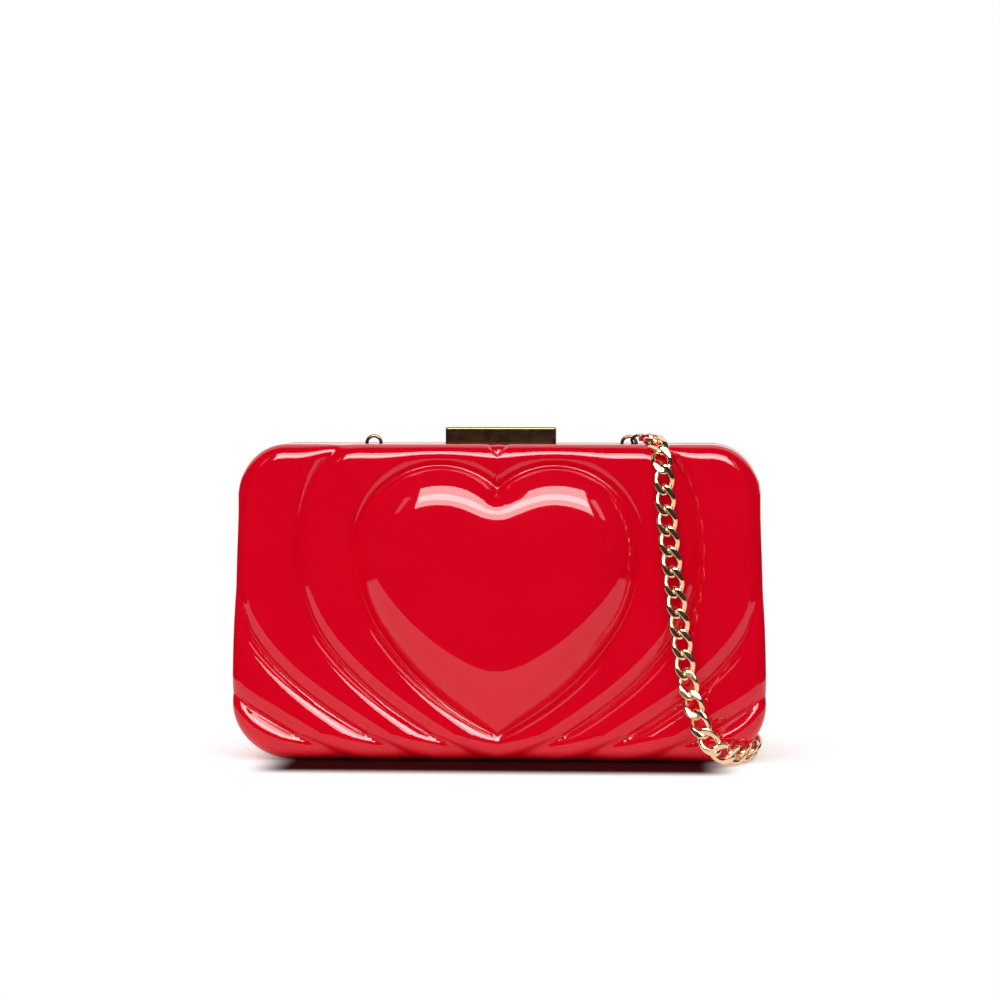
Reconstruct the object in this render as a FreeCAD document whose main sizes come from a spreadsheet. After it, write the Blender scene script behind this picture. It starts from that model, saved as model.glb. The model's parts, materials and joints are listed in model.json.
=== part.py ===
import FreeCAD, Part
import math
import os
import re

import Sketcher

# A hard-shell clutch purse: two identical moulded halves with a raised heart and heart-shaped waves,
# each on a metal rail, hinged along the bottom, closed by a sprung clasp bar at the top,
# with a curb-chain strap draped over it.
# Millimetres. X is the purse's width, -Y is the front, +Z is up. The origin is on the surface that it
# stands on, under the middle of the seam between the halves.

Vector = FreeCAD.Vector
X_AXIS = Vector(1, 0, 0)
Y_AXIS = Vector(0, 1, 0)
Z_AXIS = Vector(0, 0, 1)

doc = FreeCAD.newDocument("HeartClutch")

# Driving dimensions

SIZES = {
    # moulded halves
    "body_width": 190,
    "body_height": 114,
    "top_corner_radius": 18.5,
    "bottom_corner_radius": 21.5,
    "face_depth": 23,
    "edge_radius": 8.5,
    "shell_wall": 2.2,
    "shell_edge": 3.2,
    # heart and waves
    "heart_centre_height": 60,
    "heart_widest_rise": 16,
    "heart_lobe_radius": 30.5,
    "heart_side_radius": 52,
    "heart_side_turn": 33,
    "heart_tip_drop": 50.5,
    "dome_height": 7,
    "groove_depth": 2.4,
    "groove_inner_width": 4.2,
    "groove_outer_width": 2.8,
    # metal rails
    "rail_inset": 1.4,
    "rail_thickness": 3.6,
    "seam_half_gap": 0.2,
    "lip_thickness": 1.2,
    "lip_depth": 6,
    "glue_gap": 0.1,
    # lining trays
    "lining_gap": 0.3,
    "lining_thickness": 1,
    # hinge
    "hinge_length": 99,
    "hinge_axis_height": 1.7,
    "knuckle_radius": 1.45,
    "knuckle_gap": 0.3,
    "knuckle_relief": 0.35,
    "hinge_pin_radius": 0.75,
    "running_gap": 0.05,
    "leaf_thickness": 0.7,
    "leaf_inner_edge": 1.3,
    "leaf_outer_edge": 3.1,
    "rivet_radius": 0.4,
    "rivet_head_radius": 0.7,
    "rivet_head_height": 0.3,
    "rivet_length": 1.6,
    "hinge_rivet_spacing": 22,
    # clasp
    "clasp_width": 40,
    "clasp_depth": 5.5,
    "clasp_rise": 5.8,
    "clasp_skirt_drop": 0.4,
    "clasp_rear_rise": 2.3,
    "clasp_wall": 0.9,
    "clasp_edge_radius": 0.7,
    "clasp_pin_radius": 0.6,
    "clasp_pin_back": 1.5,
    "clasp_pin_rise": 0.7,
    "clasp_plate_width": 35,
    "clasp_plate_thickness": 0.6,
    "clasp_plate_front": 0.3,
    "clasp_plate_back": 3,
    "ear_offset": 16,
    "ear_thickness": 1.2,
    "ear_radius": 1.2,
    "clasp_rivet_offset": 11,
    "spring_coil_radius": 1.12,
    "spring_wire_radius": 0.22,
    "spring_pitch": 0.7,
    "spring_turns": 6,
    "spring_leg": 2.6,
    "catch_width": 16,
    "catch_notch": 1.2,
    "catch_tooth_height": 1.8,
    "catch_tooth_thickness": 0.6,
    "catch_tooth_front": 1.4,
    "catch_rivet_offset": 5,
    # strap eyes and rings
    "eye_offset": 46.5,
    "eye_seam_offset": 1.6,
    "eye_bend_radius": 2.6,
    "eye_wire_radius": 0.62,
    "eye_bend_drop": 0.1,
    "eye_head_radius": 1.05,
    "eye_head_height": 0.5,
    "ring_radius": 3,
    "ring_wire_radius": 0.5,
    "ring_slack": 0.38,
    "ring_lift": 0.56,
    # chain
    "link_half_length": 4.6,
    "link_half_width": 3.15,
    "link_wire_radius": 0.7,
    "link_play": 0.4,
    # strap hook
    "hook_head_radius": 5,
    "hook_thickness": 3.2,
    "hook_neck_length": 9,
    "hook_neck_half_width": 3.6,
    "hook_length": 14.4,
    "hook_tail_radius": 3.1,
    "hook_tongue_thickness": 1,
    "hook_eye_radius": 2.1,
    "hook_eye_play": 0.75,
    "hook_opening_radius": 3.2,
    "hook_opening_run": 5.2,
    "hook_opening_half_width": 2.2,
    "hook_nose": 2.6,
    "hook_mouth_end": 4.6,
    "gate_pivot": 6.6,
    "gate_side": 2.8,
    "gate_half_width": 0.6,
    "gate_hub_radius": 1.1,
    "gate_thickness": 1.6,
    "gate_gap": 0.12,
    "gate_slot_radius": 2.3,
    "gate_tip_gap": 0.4,
    "gate_pin_radius": 0.5,
    "gate_pin_head_radius": 0.9,
    "gate_pin_head": 0.2,
    "trigger_radius": 0.9,
    "trigger_back": 3.2,
    "trigger_rise": 0.6,
    # making
    "cut_overrun": 2,
}

# Shares: the concentric hearts as multiples of the middle one, and the dome's sections.
LOBE_OFFSET_SHARE = 0.682
WAVE_SHARES = (1.0, 1.41, 1.87, 2.25)
DOME_SCALE_SHARES = (0.985, 0.95, 0.88, 0.76, 0.58, 0.36, 0.14)
DOME_RISE_SHARES = (0.0, 0.22, 0.48, 0.74, 0.92, 0.985, 1.0)
SHOULDER_BULGE_SHARE = 0.16
ARC_REACH_SHARE = 0.49
SPRING_END_SHARE = 0.2
SPRING_STEP_SHARE = 0.24
RING_LEAN_SHARES = (0.946, -0.218, 0.241)
RING_TILT_SHARES = (-0.321, -0.747, 0.582)
KNUCKLE_COUNT = 9
LINK_TWIST_DEGREES = -45
LINK_TURN_DEGREES = 10
LINK_SPANS = 3
LINK_TANGENT_STEP_SHARE = 0.01

sheet = doc.addObject("Spreadsheet::Sheet", "Sizes")
for row, (alias, value) in enumerate(SIZES.items(), start=1):
    sheet.set(f"A{row}", alias)
    sheet.set(f"B{row}", str(value))
    sheet.setAlias(f"B{row}", alias)
doc.recompute()


def size(alias):
    """A driving dimension, read from the sheet."""
    return float(sheet.get(alias))


def bind(thing, prop, formula):
    """Bind a property to a formula whose words are the sheet's aliases."""
    text = re.sub(r"[a-z][a-z_]+", lambda word: "Sizes." + word.group(0), formula)
    thing.setExpression(prop, text)


def place(thing, x="0", y="0", z="0"):
    """Bind the place of a primitive to formulas."""
    bind(thing, ".Placement.Base.x", x)
    bind(thing, ".Placement.Base.y", y)
    bind(thing, ".Placement.Base.z", z)


def box(name, low, span):
    """A block with its low corner and its three sides given as formulas."""
    block = doc.addObject("Part::Box", name)
    for prop, formula in zip(("Length", "Width", "Height"), span):
        bind(block, prop, formula)
    place(block, *low)
    return block


def cylinder(name, radius, height, start, along=Z_AXIS):
    """A cylinder that starts at a place and runs along an axis."""
    rod = doc.addObject("Part::Cylinder", name)
    bind(rod, "Radius", radius)
    bind(rod, "Height", height)
    rod.Placement.Rotation = FreeCAD.Rotation(Z_AXIS, along)
    place(rod, *start)
    return rod


def fuse(name, pieces):
    """Several solids made one."""
    joined = doc.addObject("Part::MultiFuse", name)
    joined.Shapes = pieces
    joined.Refine = True
    return joined


def cut(name, base, tools):
    """A solid with one or more tools taken out of it."""
    tool = tools[0]
    if len(tools) > 1:
        tool = doc.addObject("Part::Compound", name + "_tools")
        tool.Links = tools
    result = doc.addObject("Part::Cut", name)
    result.Base = base
    result.Tool = tool
    return result


def solids_of(name, pieces):
    """A group of separate solids in one node."""
    group = doc.addObject("Part::Compound", name)
    group.Links = pieces
    return group


def mirrored(name, source):
    """The same piece on the other side of the seam."""
    twin = doc.addObject("Part::Mirroring", name)
    twin.Source = source
    twin.Base = Vector(0, 0, 0)
    twin.Normal = Y_AXIS
    return twin


# Outlines: the purse's rounded rectangle, drawn in from its edge by the sum of some named sizes

def total(aliases):
    """The sum of some driving dimensions."""
    return sum(size(alias) for alias in aliases)


def rounded_rectangle(sketch, inset):
    """Four corner arcs and four lines, tied to the body's size less an inset all round."""
    gap = total(inset)
    less = " - ".join(("",) + inset)
    half = size("body_width") / 2 - gap
    high = size("body_height") - gap
    bottom = size("bottom_corner_radius") - gap
    top = size("top_corner_radius") - gap
    first = sketch.GeometryCount
    quarter = math.pi / 2
    corners = [
        (half - bottom, gap + bottom, bottom),
        (half - top, high - top, top),
        (-half + top, high - top, top),
        (-half + bottom, gap + bottom, bottom),
    ]
    for turn, (x, z, radius) in enumerate(corners, start=-1):
        circle = Part.Circle(Vector(x, z, 0), Z_AXIS, radius)
        sketch.addGeometry(Part.ArcOfCircle(circle, turn * quarter, (turn + 1) * quarter))
    arcs = [first + i for i in range(len(corners))]
    following = arcs[1:] + arcs[:1]
    lines = []
    for arc, after in zip(arcs, following):
        line = Part.LineSegment(sketch.getPoint(arc, 2), sketch.getPoint(after, 1))
        lines.append(sketch.addGeometry(line))
    for arc, line, after in zip(arcs, lines, following):
        sketch.addConstraint(Sketcher.Constraint("Tangent", arc, 2, line, 1))
        sketch.addConstraint(Sketcher.Constraint("Tangent", line, 2, after, 1))
    right, upper, left, lower = lines
    for upright in (right, left):
        sketch.addConstraint(Sketcher.Constraint("Vertical", upright))
    for level in (upper, lower):
        sketch.addConstraint(Sketcher.Constraint("Horizontal", level))
    sketch.addConstraint(Sketcher.Constraint("Equal", arcs[0], arcs[3]))
    sketch.addConstraint(Sketcher.Constraint("Equal", arcs[1], arcs[2]))
    dimensions = [
        ("Radius", (arcs[0],), bottom, "bottom_corner_radius" + less),
        ("Radius", (arcs[1],), top, "top_corner_radius" + less),
        ("DistanceX", (-1, 1, right, 1), half, "body_width / 2" + less),
        ("DistanceX", (left, 1, -1, 1), half, "body_width / 2" + less),
        ("DistanceY", (-1, 1, upper, 1), high, "body_height" + less),
    ]
    if inset:
        dimensions.append(("DistanceY", (-1, 1, lower, 1), gap, " + ".join(inset)))
    else:
        sketch.addConstraint(Sketcher.Constraint("PointOnObject", lower, 1, -1))
    for kind, where, value, formula in dimensions:
        index = sketch.addConstraint(Sketcher.Constraint(kind, *where, value))
        bind(sketch, f"Constraints[{index}]", formula)


def pad_outline(body, name, depth, length, inset, inner_inset=None):
    """An outline, or a ring between two, raised towards the front from a depth in front of the seam."""
    sketch = body.newObject("Sketcher::SketchObject", name + "_outline")
    plane = [f for f in body.Origin.OriginFeatures if f.Role == "XZ_Plane"][0]
    sketch.AttachmentSupport = [(plane, "")]
    sketch.MapMode = "FlatFace"
    bind(sketch, ".AttachmentOffset.Base.z", depth)
    rounded_rectangle(sketch, inset)
    if inner_inset:
        rounded_rectangle(sketch, inner_inset)
    pad = body.newObject("PartDesign::Pad", name)
    pad.Profile = sketch
    bind(pad, "Length", length)
    doc.recompute()
    return pad


def round_front(body, pad, depth, radius):
    """Round the edges of a pad's front face."""
    front = [
        f"Edge{i}"
        for i, edge in enumerate(pad.Shape.Edges, start=1)
        if max(abs(vertex.Point.y + depth) for vertex in edge.Vertexes) < Part.Precision.confusion()
    ]
    rounding = body.newObject("PartDesign::Fillet", pad.Name + "_rounding")
    rounding.Base = (pad, front)
    bind(rounding, "Radius", radius)
    doc.recompute()
    return rounding


# The heart: two lobe circles, two side arcs and two arcs to the tip, all tangent

def heart_side(scale):
    """The right half of a heart as arcs from cleft to tip, about the heart's centre, in the X-Z plane."""
    centre = Vector(0, 0, size("heart_centre_height"))
    lobe_radius = size("heart_lobe_radius")
    half_width = lobe_radius * (1 + LOBE_OFFSET_SHARE)
    rise = size("heart_widest_rise")
    lobe = Vector(half_width - lobe_radius, 0, rise)
    side = Vector(half_width - size("heart_side_radius"), 0, rise)
    tip = Vector(0, 0, -size("heart_tip_drop"))

    def on_circle(middle, radius, degrees):
        angle = math.radians(degrees)
        return middle + Vector(math.cos(angle), 0, math.sin(angle)) * radius

    cleft_angle = math.degrees(math.acos(-lobe.x / lobe_radius))
    turn = -size("heart_side_turn")
    joint = on_circle(side, size("heart_side_radius"), turn)
    # The tip's arc leaves the side arc along its tangent and ends at the tip.
    normal = (joint - side).normalize()
    chord = tip - joint
    tip_radius = chord.Length ** 2 / (-2 * chord.dot(normal))
    tip_centre = joint - normal * tip_radius
    toward = ((joint + tip) * 0.5 - tip_centre).normalize()
    spans = [
        (on_circle(lobe, lobe_radius, cleft_angle),
         on_circle(lobe, lobe_radius, cleft_angle / 2),
         on_circle(lobe, lobe_radius, 0)),
        (on_circle(side, size("heart_side_radius"), 0),
         on_circle(side, size("heart_side_radius"), turn / 2),
         joint),
        (joint, tip_centre + toward * tip_radius, tip),
    ]
    return [tuple(centre + point * scale for point in span) for span in spans]


def heart_wire(scale, depth):
    """A whole heart, closed, at a depth in front of the seam."""
    forward = Vector(0, -depth, 0)
    right = heart_side(scale)
    flip = FreeCAD.Matrix()
    flip.scale(-1, 1, 1)
    left = [tuple(flip.multVec(point) for point in reversed(span)) for span in reversed(right)]
    edges = [Part.Arc(*(point + forward for point in span)).toShape() for span in right + left]
    return Part.Wire(edges)


def heart_groove(scale):
    """The trough along one heart: a long rounded shoulder inside and a short one outside."""
    face = size("face_depth")
    over = size("cut_overrun")
    spans = heart_side(scale)
    level = Vector(0, -face, 0)
    edges = [Part.Arc(*(point + level for point in span)).toShape() for span in spans]
    start = edges[0]
    begin = start.valueAt(start.FirstParameter)
    run_in = start.tangentAt(start.FirstParameter) * size("groove_inner_width") * 2
    finish = edges[-1].valueAt(edges[-1].LastParameter)
    run_out = edges[-1].tangentAt(edges[-1].LastParameter) * size("groove_inner_width") * 2
    path = Part.Wire(
        [Part.LineSegment(begin - run_in, begin).toShape()]
        + edges
        + [Part.LineSegment(finish, finish + run_out).toShape()]
    )
    along = run_in.normalize()
    outward = along.cross(Y_AXIS).normalize()
    if outward.dot(begin - Vector(0, begin.y, size("heart_centre_height"))) < 0:
        outward = outward * -1
    foot = begin - run_in.normalize() * size("groove_inner_width") * 2
    out_of_face = Vector(0, -1, 0)

    def at(across, lift):
        return foot + outward * across + out_of_face * lift

    inner = at(-size("groove_inner_width"), 0)
    bottom = at(0, -size("groove_depth"))
    outer = at(size("groove_outer_width"), 0)

    def shoulder(first, last):
        middle = (first + last) * 0.5
        across = (last - first).cross(along)
        if across.dot(out_of_face) < 0:
            across = across * -1
        return Part.Arc(first, middle + across * SHOULDER_BULGE_SHARE, last).toShape()

    inner_top = inner + out_of_face * over
    outer_top = outer + out_of_face * over
    section = Part.Wire([
        shoulder(inner, bottom),
        shoulder(bottom, outer),
        Part.LineSegment(outer, outer_top).toShape(),
        Part.LineSegment(outer_top, inner_top).toShape(),
        Part.LineSegment(inner_top, inner).toShape(),
    ])
    trough = path.makePipeShell([section], True, False)
    reach = size("body_width") * WAVE_SHARES[-1]
    right_half = Part.makeBox(reach, reach, 2 * reach, Vector(0, -reach, -reach))
    trough = trough.common(right_half)
    return trough.fuse(trough.mirror(Vector(0, 0, 0), X_AXIS))


def shape_object(name, shape):
    """A document object that holds a worked-out shape."""
    thing = doc.addObject("Part::Feature", name)
    thing.Shape = shape
    return thing


# Moulded halves

shell_body = doc.addObject("PartDesign::Body", "shell_block")
shell_pad = pad_outline(shell_body, "shell_pad", "shell_edge", "face_depth - shell_edge", ())
round_front(shell_body, shell_pad, size("face_depth"), "edge_radius")

grooves = [shape_object(f"wave_groove_{i}", heart_groove(share)) for i, share in enumerate(WAVE_SHARES)]
grooved = shell_body
for index, groove in enumerate(grooves):
    grooved = cut(f"shell_with_groove_{index}", grooved, [groove])

dome_base = size("face_depth") - size("groove_depth") - size("glue_gap")
dome_rise = size("dome_height") + size("groove_depth") + size("glue_gap")
dome_sections = [
    heart_wire(scale, dome_base + dome_rise * rise)
    for scale, rise in zip(DOME_SCALE_SHARES, DOME_RISE_SHARES)
]
dome = shape_object("heart_dome", Part.makeLoft(dome_sections, True, False))
domed = fuse("shell_with_dome", [grooved, dome])

cavity_body = doc.addObject("PartDesign::Body", "shell_cavity")
cavity_depth = "face_depth - shell_edge - groove_depth - shell_wall"
cavity_pad = pad_outline(cavity_body, "cavity_pad", "shell_edge", cavity_depth, ("shell_wall",))
cavity_front = size("face_depth") - size("groove_depth") - size("shell_wall")
round_front(cavity_body, cavity_pad, cavity_front, "edge_radius - shell_wall")
front_shell = cut("front_shell", domed, [cavity_body])
back_shell = mirrored("back_shell", front_shell)


# Metal rails: a flat band round each half's mouth, with a lip glued inside the moulding

rail_body = doc.addObject("PartDesign::Body", "rail_band")
rail_inside = ("rail_inset", "rail_thickness")
rail_depth = "shell_edge - seam_half_gap"
pad_outline(rail_body, "rail_pad", "seam_half_gap", rail_depth, ("rail_inset",), rail_inside)
lip_inset = ("shell_wall", "glue_gap")
pad_outline(rail_body, "lip_pad", "shell_edge", "lip_depth", lip_inset, lip_inset + ("lip_thickness",))
rear_rail = mirrored("rear_rail_band", rail_body)

RAIL_TOP = "body_height - rail_inset"
SKIRT_BOTTOM = "body_height - clasp_skirt_drop"
CLASP_PIN_HEIGHT = "body_height + clasp_pin_rise"
EYE_BEND_HEIGHT = "body_height - eye_bend_drop"
HINGE_START = "-hinge_length / 2"


def rivet(name, x, y, seat, up):
    """A rivet whose head lies on a plate at a height and whose shank goes into the rail."""
    along = Z_AXIS if up else -Z_AXIS
    sign = "-" if up else "+"
    head_start = f"{seat} {sign} rivet_head_height"
    length = "rivet_length + rivet_head_height"
    shank = cylinder(name + "_shank", "rivet_radius", length, (x, y, head_start), along)
    head = cylinder(name + "_head", "rivet_head_radius", "rivet_head_height", (x, y, head_start), along)
    return fuse(name, [shank, head])


def rivet_hole(name, x, y, seat, up):
    """The hole that a rivet's shank goes through, from just before its plate."""
    along = Z_AXIS if up else -Z_AXIS
    sign = "-" if up else "+"
    start = f"{seat} {sign} rivet_head_height"
    length = "rivet_length + rivet_head_height + running_gap"
    return cylinder(name, "rivet_radius + running_gap", length, (x, y, start), along)


# Hinge: two leaves under the rails, with alternating knuckles on one pin

hinge_rivet_reach = int(size("hinge_length") / 2 / size("hinge_rivet_spacing"))
hinge_rivet_steps = range(-hinge_rivet_reach, hinge_rivet_reach + 1)
LEAF_SEAT = "rail_inset - leaf_thickness"
LEAF_MIDDLE = "(leaf_inner_edge + leaf_outer_edge) / 2"
KNUCKLE_LENGTH = f"hinge_length / {KNUCKLE_COUNT}"


def hinge_half(side, sign, own):
    """One leaf with its knuckles, its rivets and the holes that they need in the rail."""
    low_edge = "-leaf_outer_edge" if sign < 0 else "leaf_inner_edge"
    strip = box(
        f"{side}_leaf_strip",
        (HINGE_START, low_edge, LEAF_SEAT),
        ("hinge_length", "leaf_outer_edge - leaf_inner_edge", "leaf_thickness"),
    )
    knuckles = []
    reliefs = []
    for index in range(KNUCKLE_COUNT):
        start = f"{HINGE_START} + {KNUCKLE_LENGTH} * {index}"
        if index % 2 == own:
            where = (f"{start} + knuckle_gap / 2", "0", "hinge_axis_height")
            length = f"{KNUCKLE_LENGTH} - knuckle_gap"
            knuckles.append(cylinder(f"{side}_knuckle_{index}", "knuckle_radius", length, where, X_AXIS))
        else:
            where = (f"{start} - knuckle_gap / 2", "0", "hinge_axis_height")
            length = f"{KNUCKLE_LENGTH} + knuckle_gap"
            radius = "knuckle_radius + knuckle_relief"
            reliefs.append(cylinder(f"{side}_leaf_relief_{index}", radius, length, where, X_AXIS))
    trimmed = cut(f"{side}_leaf_trimmed", strip, reliefs)
    joined = fuse(f"{side}_leaf_joined", [trimmed] + knuckles)
    bore_start = (f"{HINGE_START} - cut_overrun", "0", "hinge_axis_height")
    bore = cylinder(f"{side}_leaf_bore", "hinge_pin_radius + running_gap", "hinge_length + 2 * cut_overrun",
                    bore_start, X_AXIS)
    y = f"-{LEAF_MIDDLE}" if sign < 0 else LEAF_MIDDLE
    places = [f"hinge_rivet_spacing * {step}" for step in hinge_rivet_steps]
    holes = [rivet_hole(f"{side}_leaf_hole_{i}", x, y, LEAF_SEAT, True) for i, x in enumerate(places)]
    leaf = cut(f"hinge_{side}_leaf", joined, [bore] + holes)
    rivets = [rivet(f"{side}_leaf_rivet_{i}", x, y, LEAF_SEAT, True) for i, x in enumerate(places)]
    return leaf, solids_of(f"{side}_hinge_rivets", rivets), holes


hinge_front_leaf, front_hinge_rivets, front_leaf_holes = hinge_half("front", -1, 0)
hinge_back_leaf, back_hinge_rivets, back_leaf_holes = hinge_half("back", 1, 1)
pin_start = (HINGE_START, "0", "hinge_axis_height")
hinge_pin = cylinder("hinge_pin", "hinge_pin_radius", "hinge_length", pin_start, X_AXIS)
hinge_relief = cylinder(
    "hinge_relief",
    "knuckle_radius + knuckle_relief",
    "hinge_length + 2 * knuckle_gap",
    (f"{HINGE_START} - knuckle_gap", "0", "hinge_axis_height"),
    X_AXIS,
)


# Clasp: a hollow bar that tips back on a pin between two ears, over a toothed catch

PLATE_TOP = f"{RAIL_TOP} + clasp_plate_thickness"
PLATE_DEPTH = "clasp_plate_back - clasp_plate_front"
plate = box(
    "clasp_plate",
    ("-clasp_plate_width / 2", "clasp_plate_front", RAIL_TOP),
    ("clasp_plate_width", PLATE_DEPTH, "clasp_plate_thickness"),
)
ears = []
for side, sign in (("left", "-"), ("right", "")):
    start = f"{sign}ear_offset - ear_thickness / 2"
    foot = box(
        f"{side}_ear_foot",
        (start, "clasp_pin_back - ear_radius", RAIL_TOP),
        ("ear_thickness", "2 * ear_radius", f"{CLASP_PIN_HEIGHT} - ({RAIL_TOP})"),
    )
    where = (start, "clasp_pin_back", CLASP_PIN_HEIGHT)
    ears += [foot, cylinder(f"{side}_ear_round", "ear_radius", "ear_thickness", where, X_AXIS)]
base_blank = fuse("clasp_base_blank", [plate] + ears)
clasp_bore = cylinder(
    "clasp_bore",
    "clasp_pin_radius + running_gap",
    "clasp_width + 2 * cut_overrun",
    ("-clasp_width / 2 - cut_overrun", "clasp_pin_back", CLASP_PIN_HEIGHT),
    X_AXIS,
)
clasp_rivet_y = "(clasp_plate_front + clasp_plate_back) / 2"
clasp_rivet_x = ("-clasp_rivet_offset", "clasp_rivet_offset")
clasp_holes = [
    rivet_hole(f"clasp_hole_{i}", x, clasp_rivet_y, PLATE_TOP, False) for i, x in enumerate(clasp_rivet_x)
]
clasp_rivet_set = [
    rivet(f"clasp_rivet_{i}", x, clasp_rivet_y, PLATE_TOP, False) for i, x in enumerate(clasp_rivet_x)
]
clasp_base = cut("clasp_base", base_blank, [clasp_bore] + clasp_holes)
clasp_rivets = solids_of("clasp_rivets", clasp_rivet_set)
clasp_pin = cylinder(
    "clasp_pin",
    "clasp_pin_radius",
    "clasp_width - clasp_edge_radius",
    ("-(clasp_width - clasp_edge_radius) / 2", "clasp_pin_back", CLASP_PIN_HEIGHT),
    X_AXIS,
)


def body_box(body, kind, name, low, span):
    """A block added to or taken from a body, given as formulas."""
    block = body.newObject(kind, name)
    for prop, formula in zip(("Length", "Width", "Height"), span):
        bind(block, prop, formula)
    place(block, *low)
    doc.recompute()
    return block


bar_body = doc.addObject("PartDesign::Body", "clasp_bar_body")
bar_block = body_box(
    bar_body, "PartDesign::AdditiveBox", "bar_block",
    ("-clasp_width / 2", "-clasp_depth / 2", SKIRT_BOTTOM),
    ("clasp_width", "clasp_depth", "clasp_rise + clasp_skirt_drop"),
)
skirt_line = size("body_height") - size("clasp_skirt_drop") + size("clasp_wall")
bar_edges = [
    f"Edge{i}" for i, edge in enumerate(bar_block.Shape.Edges, start=1) if edge.BoundBox.ZMax > skirt_line
]
bar_rounding = bar_body.newObject("PartDesign::Fillet", "bar_rounding")
bar_rounding.Base = (bar_block, bar_edges)
bind(bar_rounding, "Radius", "clasp_edge_radius")
doc.recompute()
body_box(
    bar_body, "PartDesign::SubtractiveBox", "bar_hollow",
    ("-clasp_width / 2 + clasp_wall", "-clasp_depth / 2 + clasp_wall", f"{SKIRT_BOTTOM} - cut_overrun"),
    ("clasp_width - 2 * clasp_wall", "clasp_depth - 2 * clasp_wall",
     "clasp_rise + clasp_skirt_drop - clasp_wall + cut_overrun"),
)
body_box(
    bar_body, "PartDesign::SubtractiveBox", "bar_rear_opening",
    ("-clasp_width / 2 + clasp_wall", "0", f"{SKIRT_BOTTOM} - cut_overrun"),
    ("clasp_width - 2 * clasp_wall", "clasp_depth", "clasp_rear_rise + clasp_skirt_drop + cut_overrun"),
)
clasp_bar = cut("clasp_bar", bar_body, [clasp_bore])


def torsion_spring():
    """A coil round the clasp's pin, with a rear leg on the plate and a front leg up inside the bar."""
    coil = size("spring_coil_radius")
    wire = size("spring_wire_radius")
    pitch = size("spring_pitch")
    turns = size("spring_turns")
    height = size("body_height") + size("clasp_pin_rise")
    centre = Vector(-pitch * turns / 2, size("clasp_pin_back"), height)

    def on_coil(turn):
        angle = -math.pi / 2 - 2 * math.pi * turn
        return centre + Vector(pitch * turn, coil * math.cos(angle), coil * math.sin(angle))

    # The last part turn ends where its tangent leans forward, clear of the bar over its travel.
    end = turns - 1 + SPRING_END_SHARE
    steps = int(end / SPRING_STEP_SHARE)
    stations = [end * i / steps for i in range(steps + 1)]
    edges = [
        Part.Arc(on_coil(a), on_coil((a + b) / 2), on_coil(b)).toShape()
        for a, b in zip(stations, stations[1:])
    ]
    first = edges[0]
    last = edges[-1]
    begin = first.valueAt(first.FirstParameter)
    into = first.tangentAt(first.FirstParameter)
    finish = last.valueAt(last.LastParameter)
    out = last.tangentAt(last.LastParameter)
    rear_leg = Part.LineSegment(begin - into * coil, begin).toShape()
    front_leg = Part.LineSegment(finish, finish + out * size("spring_leg")).toShape()
    path = Part.Wire([rear_leg] + edges + [front_leg])
    section = Part.Wire(Part.makeCircle(wire, begin - into * coil, into))
    return path.makePipeShell([section], True, False)


clasp_spring = shape_object("clasp_spring", torsion_spring())

CATCH_SEAT = f"{RAIL_TOP} - catch_notch"
catch_notch_cut = box(
    "catch_notch_cut",
    ("-catch_width / 2 - lining_gap", "-shell_edge", CATCH_SEAT),
    ("catch_width + 2 * lining_gap", "shell_edge", "catch_notch + cut_overrun"),
)
catch_strip = box(
    "catch_strip",
    ("-catch_width / 2", "-clasp_plate_back", CATCH_SEAT),
    ("catch_width", PLATE_DEPTH, "clasp_plate_thickness"),
)
catch_tooth = box(
    "catch_tooth",
    ("-catch_width / 2", "-catch_tooth_front", CATCH_SEAT),
    ("catch_width", "catch_tooth_thickness", "catch_tooth_height"),
)
catch_blank = fuse("catch_blank", [catch_strip, catch_tooth])
CATCH_TOP = f"{CATCH_SEAT} + clasp_plate_thickness"
catch_rivet_y = "-(clasp_plate_back + catch_tooth_front) / 2"
catch_rivet_x = ("-catch_rivet_offset", "catch_rivet_offset")
catch_holes = [
    rivet_hole(f"catch_hole_{i}", x, catch_rivet_y, CATCH_TOP, False) for i, x in enumerate(catch_rivet_x)
]
catch_rivet_set = [
    rivet(f"catch_rivet_{i}", x, catch_rivet_y, CATCH_TOP, False) for i, x in enumerate(catch_rivet_x)
]
catch_plate = cut("catch_plate", catch_blank, catch_holes)
catch_rivets = solids_of("catch_rivets", catch_rivet_set)


# Strap eyes: bent wire, with both legs through the rail and their ends riveted over inside

def strap_eye(side, x, y):
    """A U of wire standing across the seam's line, and the two holes for its legs."""
    bend = doc.addObject("Part::Torus", f"{side}_eye_bend")
    bind(bend, "Radius1", "eye_bend_radius")
    bind(bend, "Radius2", "eye_wire_radius")
    bend.Angle3 = 180
    bend.Placement.Rotation = FreeCAD.Rotation(X_AXIS, 90)
    place(bend, x, y, EYE_BEND_HEIGHT)
    rail_inner = f"{RAIL_TOP} - rail_thickness"
    pieces = [bend]
    holes = []
    for index, sign in enumerate("-+"):
        leg_x = f"{x} {sign} eye_bend_radius"
        bottom = f"{rail_inner} - eye_head_height"
        length = f"{EYE_BEND_HEIGHT} - ({bottom})"
        pieces.append(cylinder(f"{side}_eye_leg_{index}", "eye_wire_radius", length, (leg_x, y, bottom)))
        foot = (leg_x, y, bottom)
        pieces.append(cylinder(f"{side}_eye_head_{index}", "eye_head_radius", "eye_head_height", foot))
        holes.append(cylinder(f"{side}_eye_hole_{index}", "eye_wire_radius + running_gap",
                              "rail_thickness + 2 * cut_overrun", (leg_x, y, f"{rail_inner} - cut_overrun")))
    return fuse(f"ring_eye_{side}", pieces), holes


ring_eye_right, right_eye_holes = strap_eye("right", "eye_offset", "-eye_seam_offset")
ring_eye_left, left_eye_holes = strap_eye("left", "-eye_offset", "eye_seam_offset")

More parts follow.
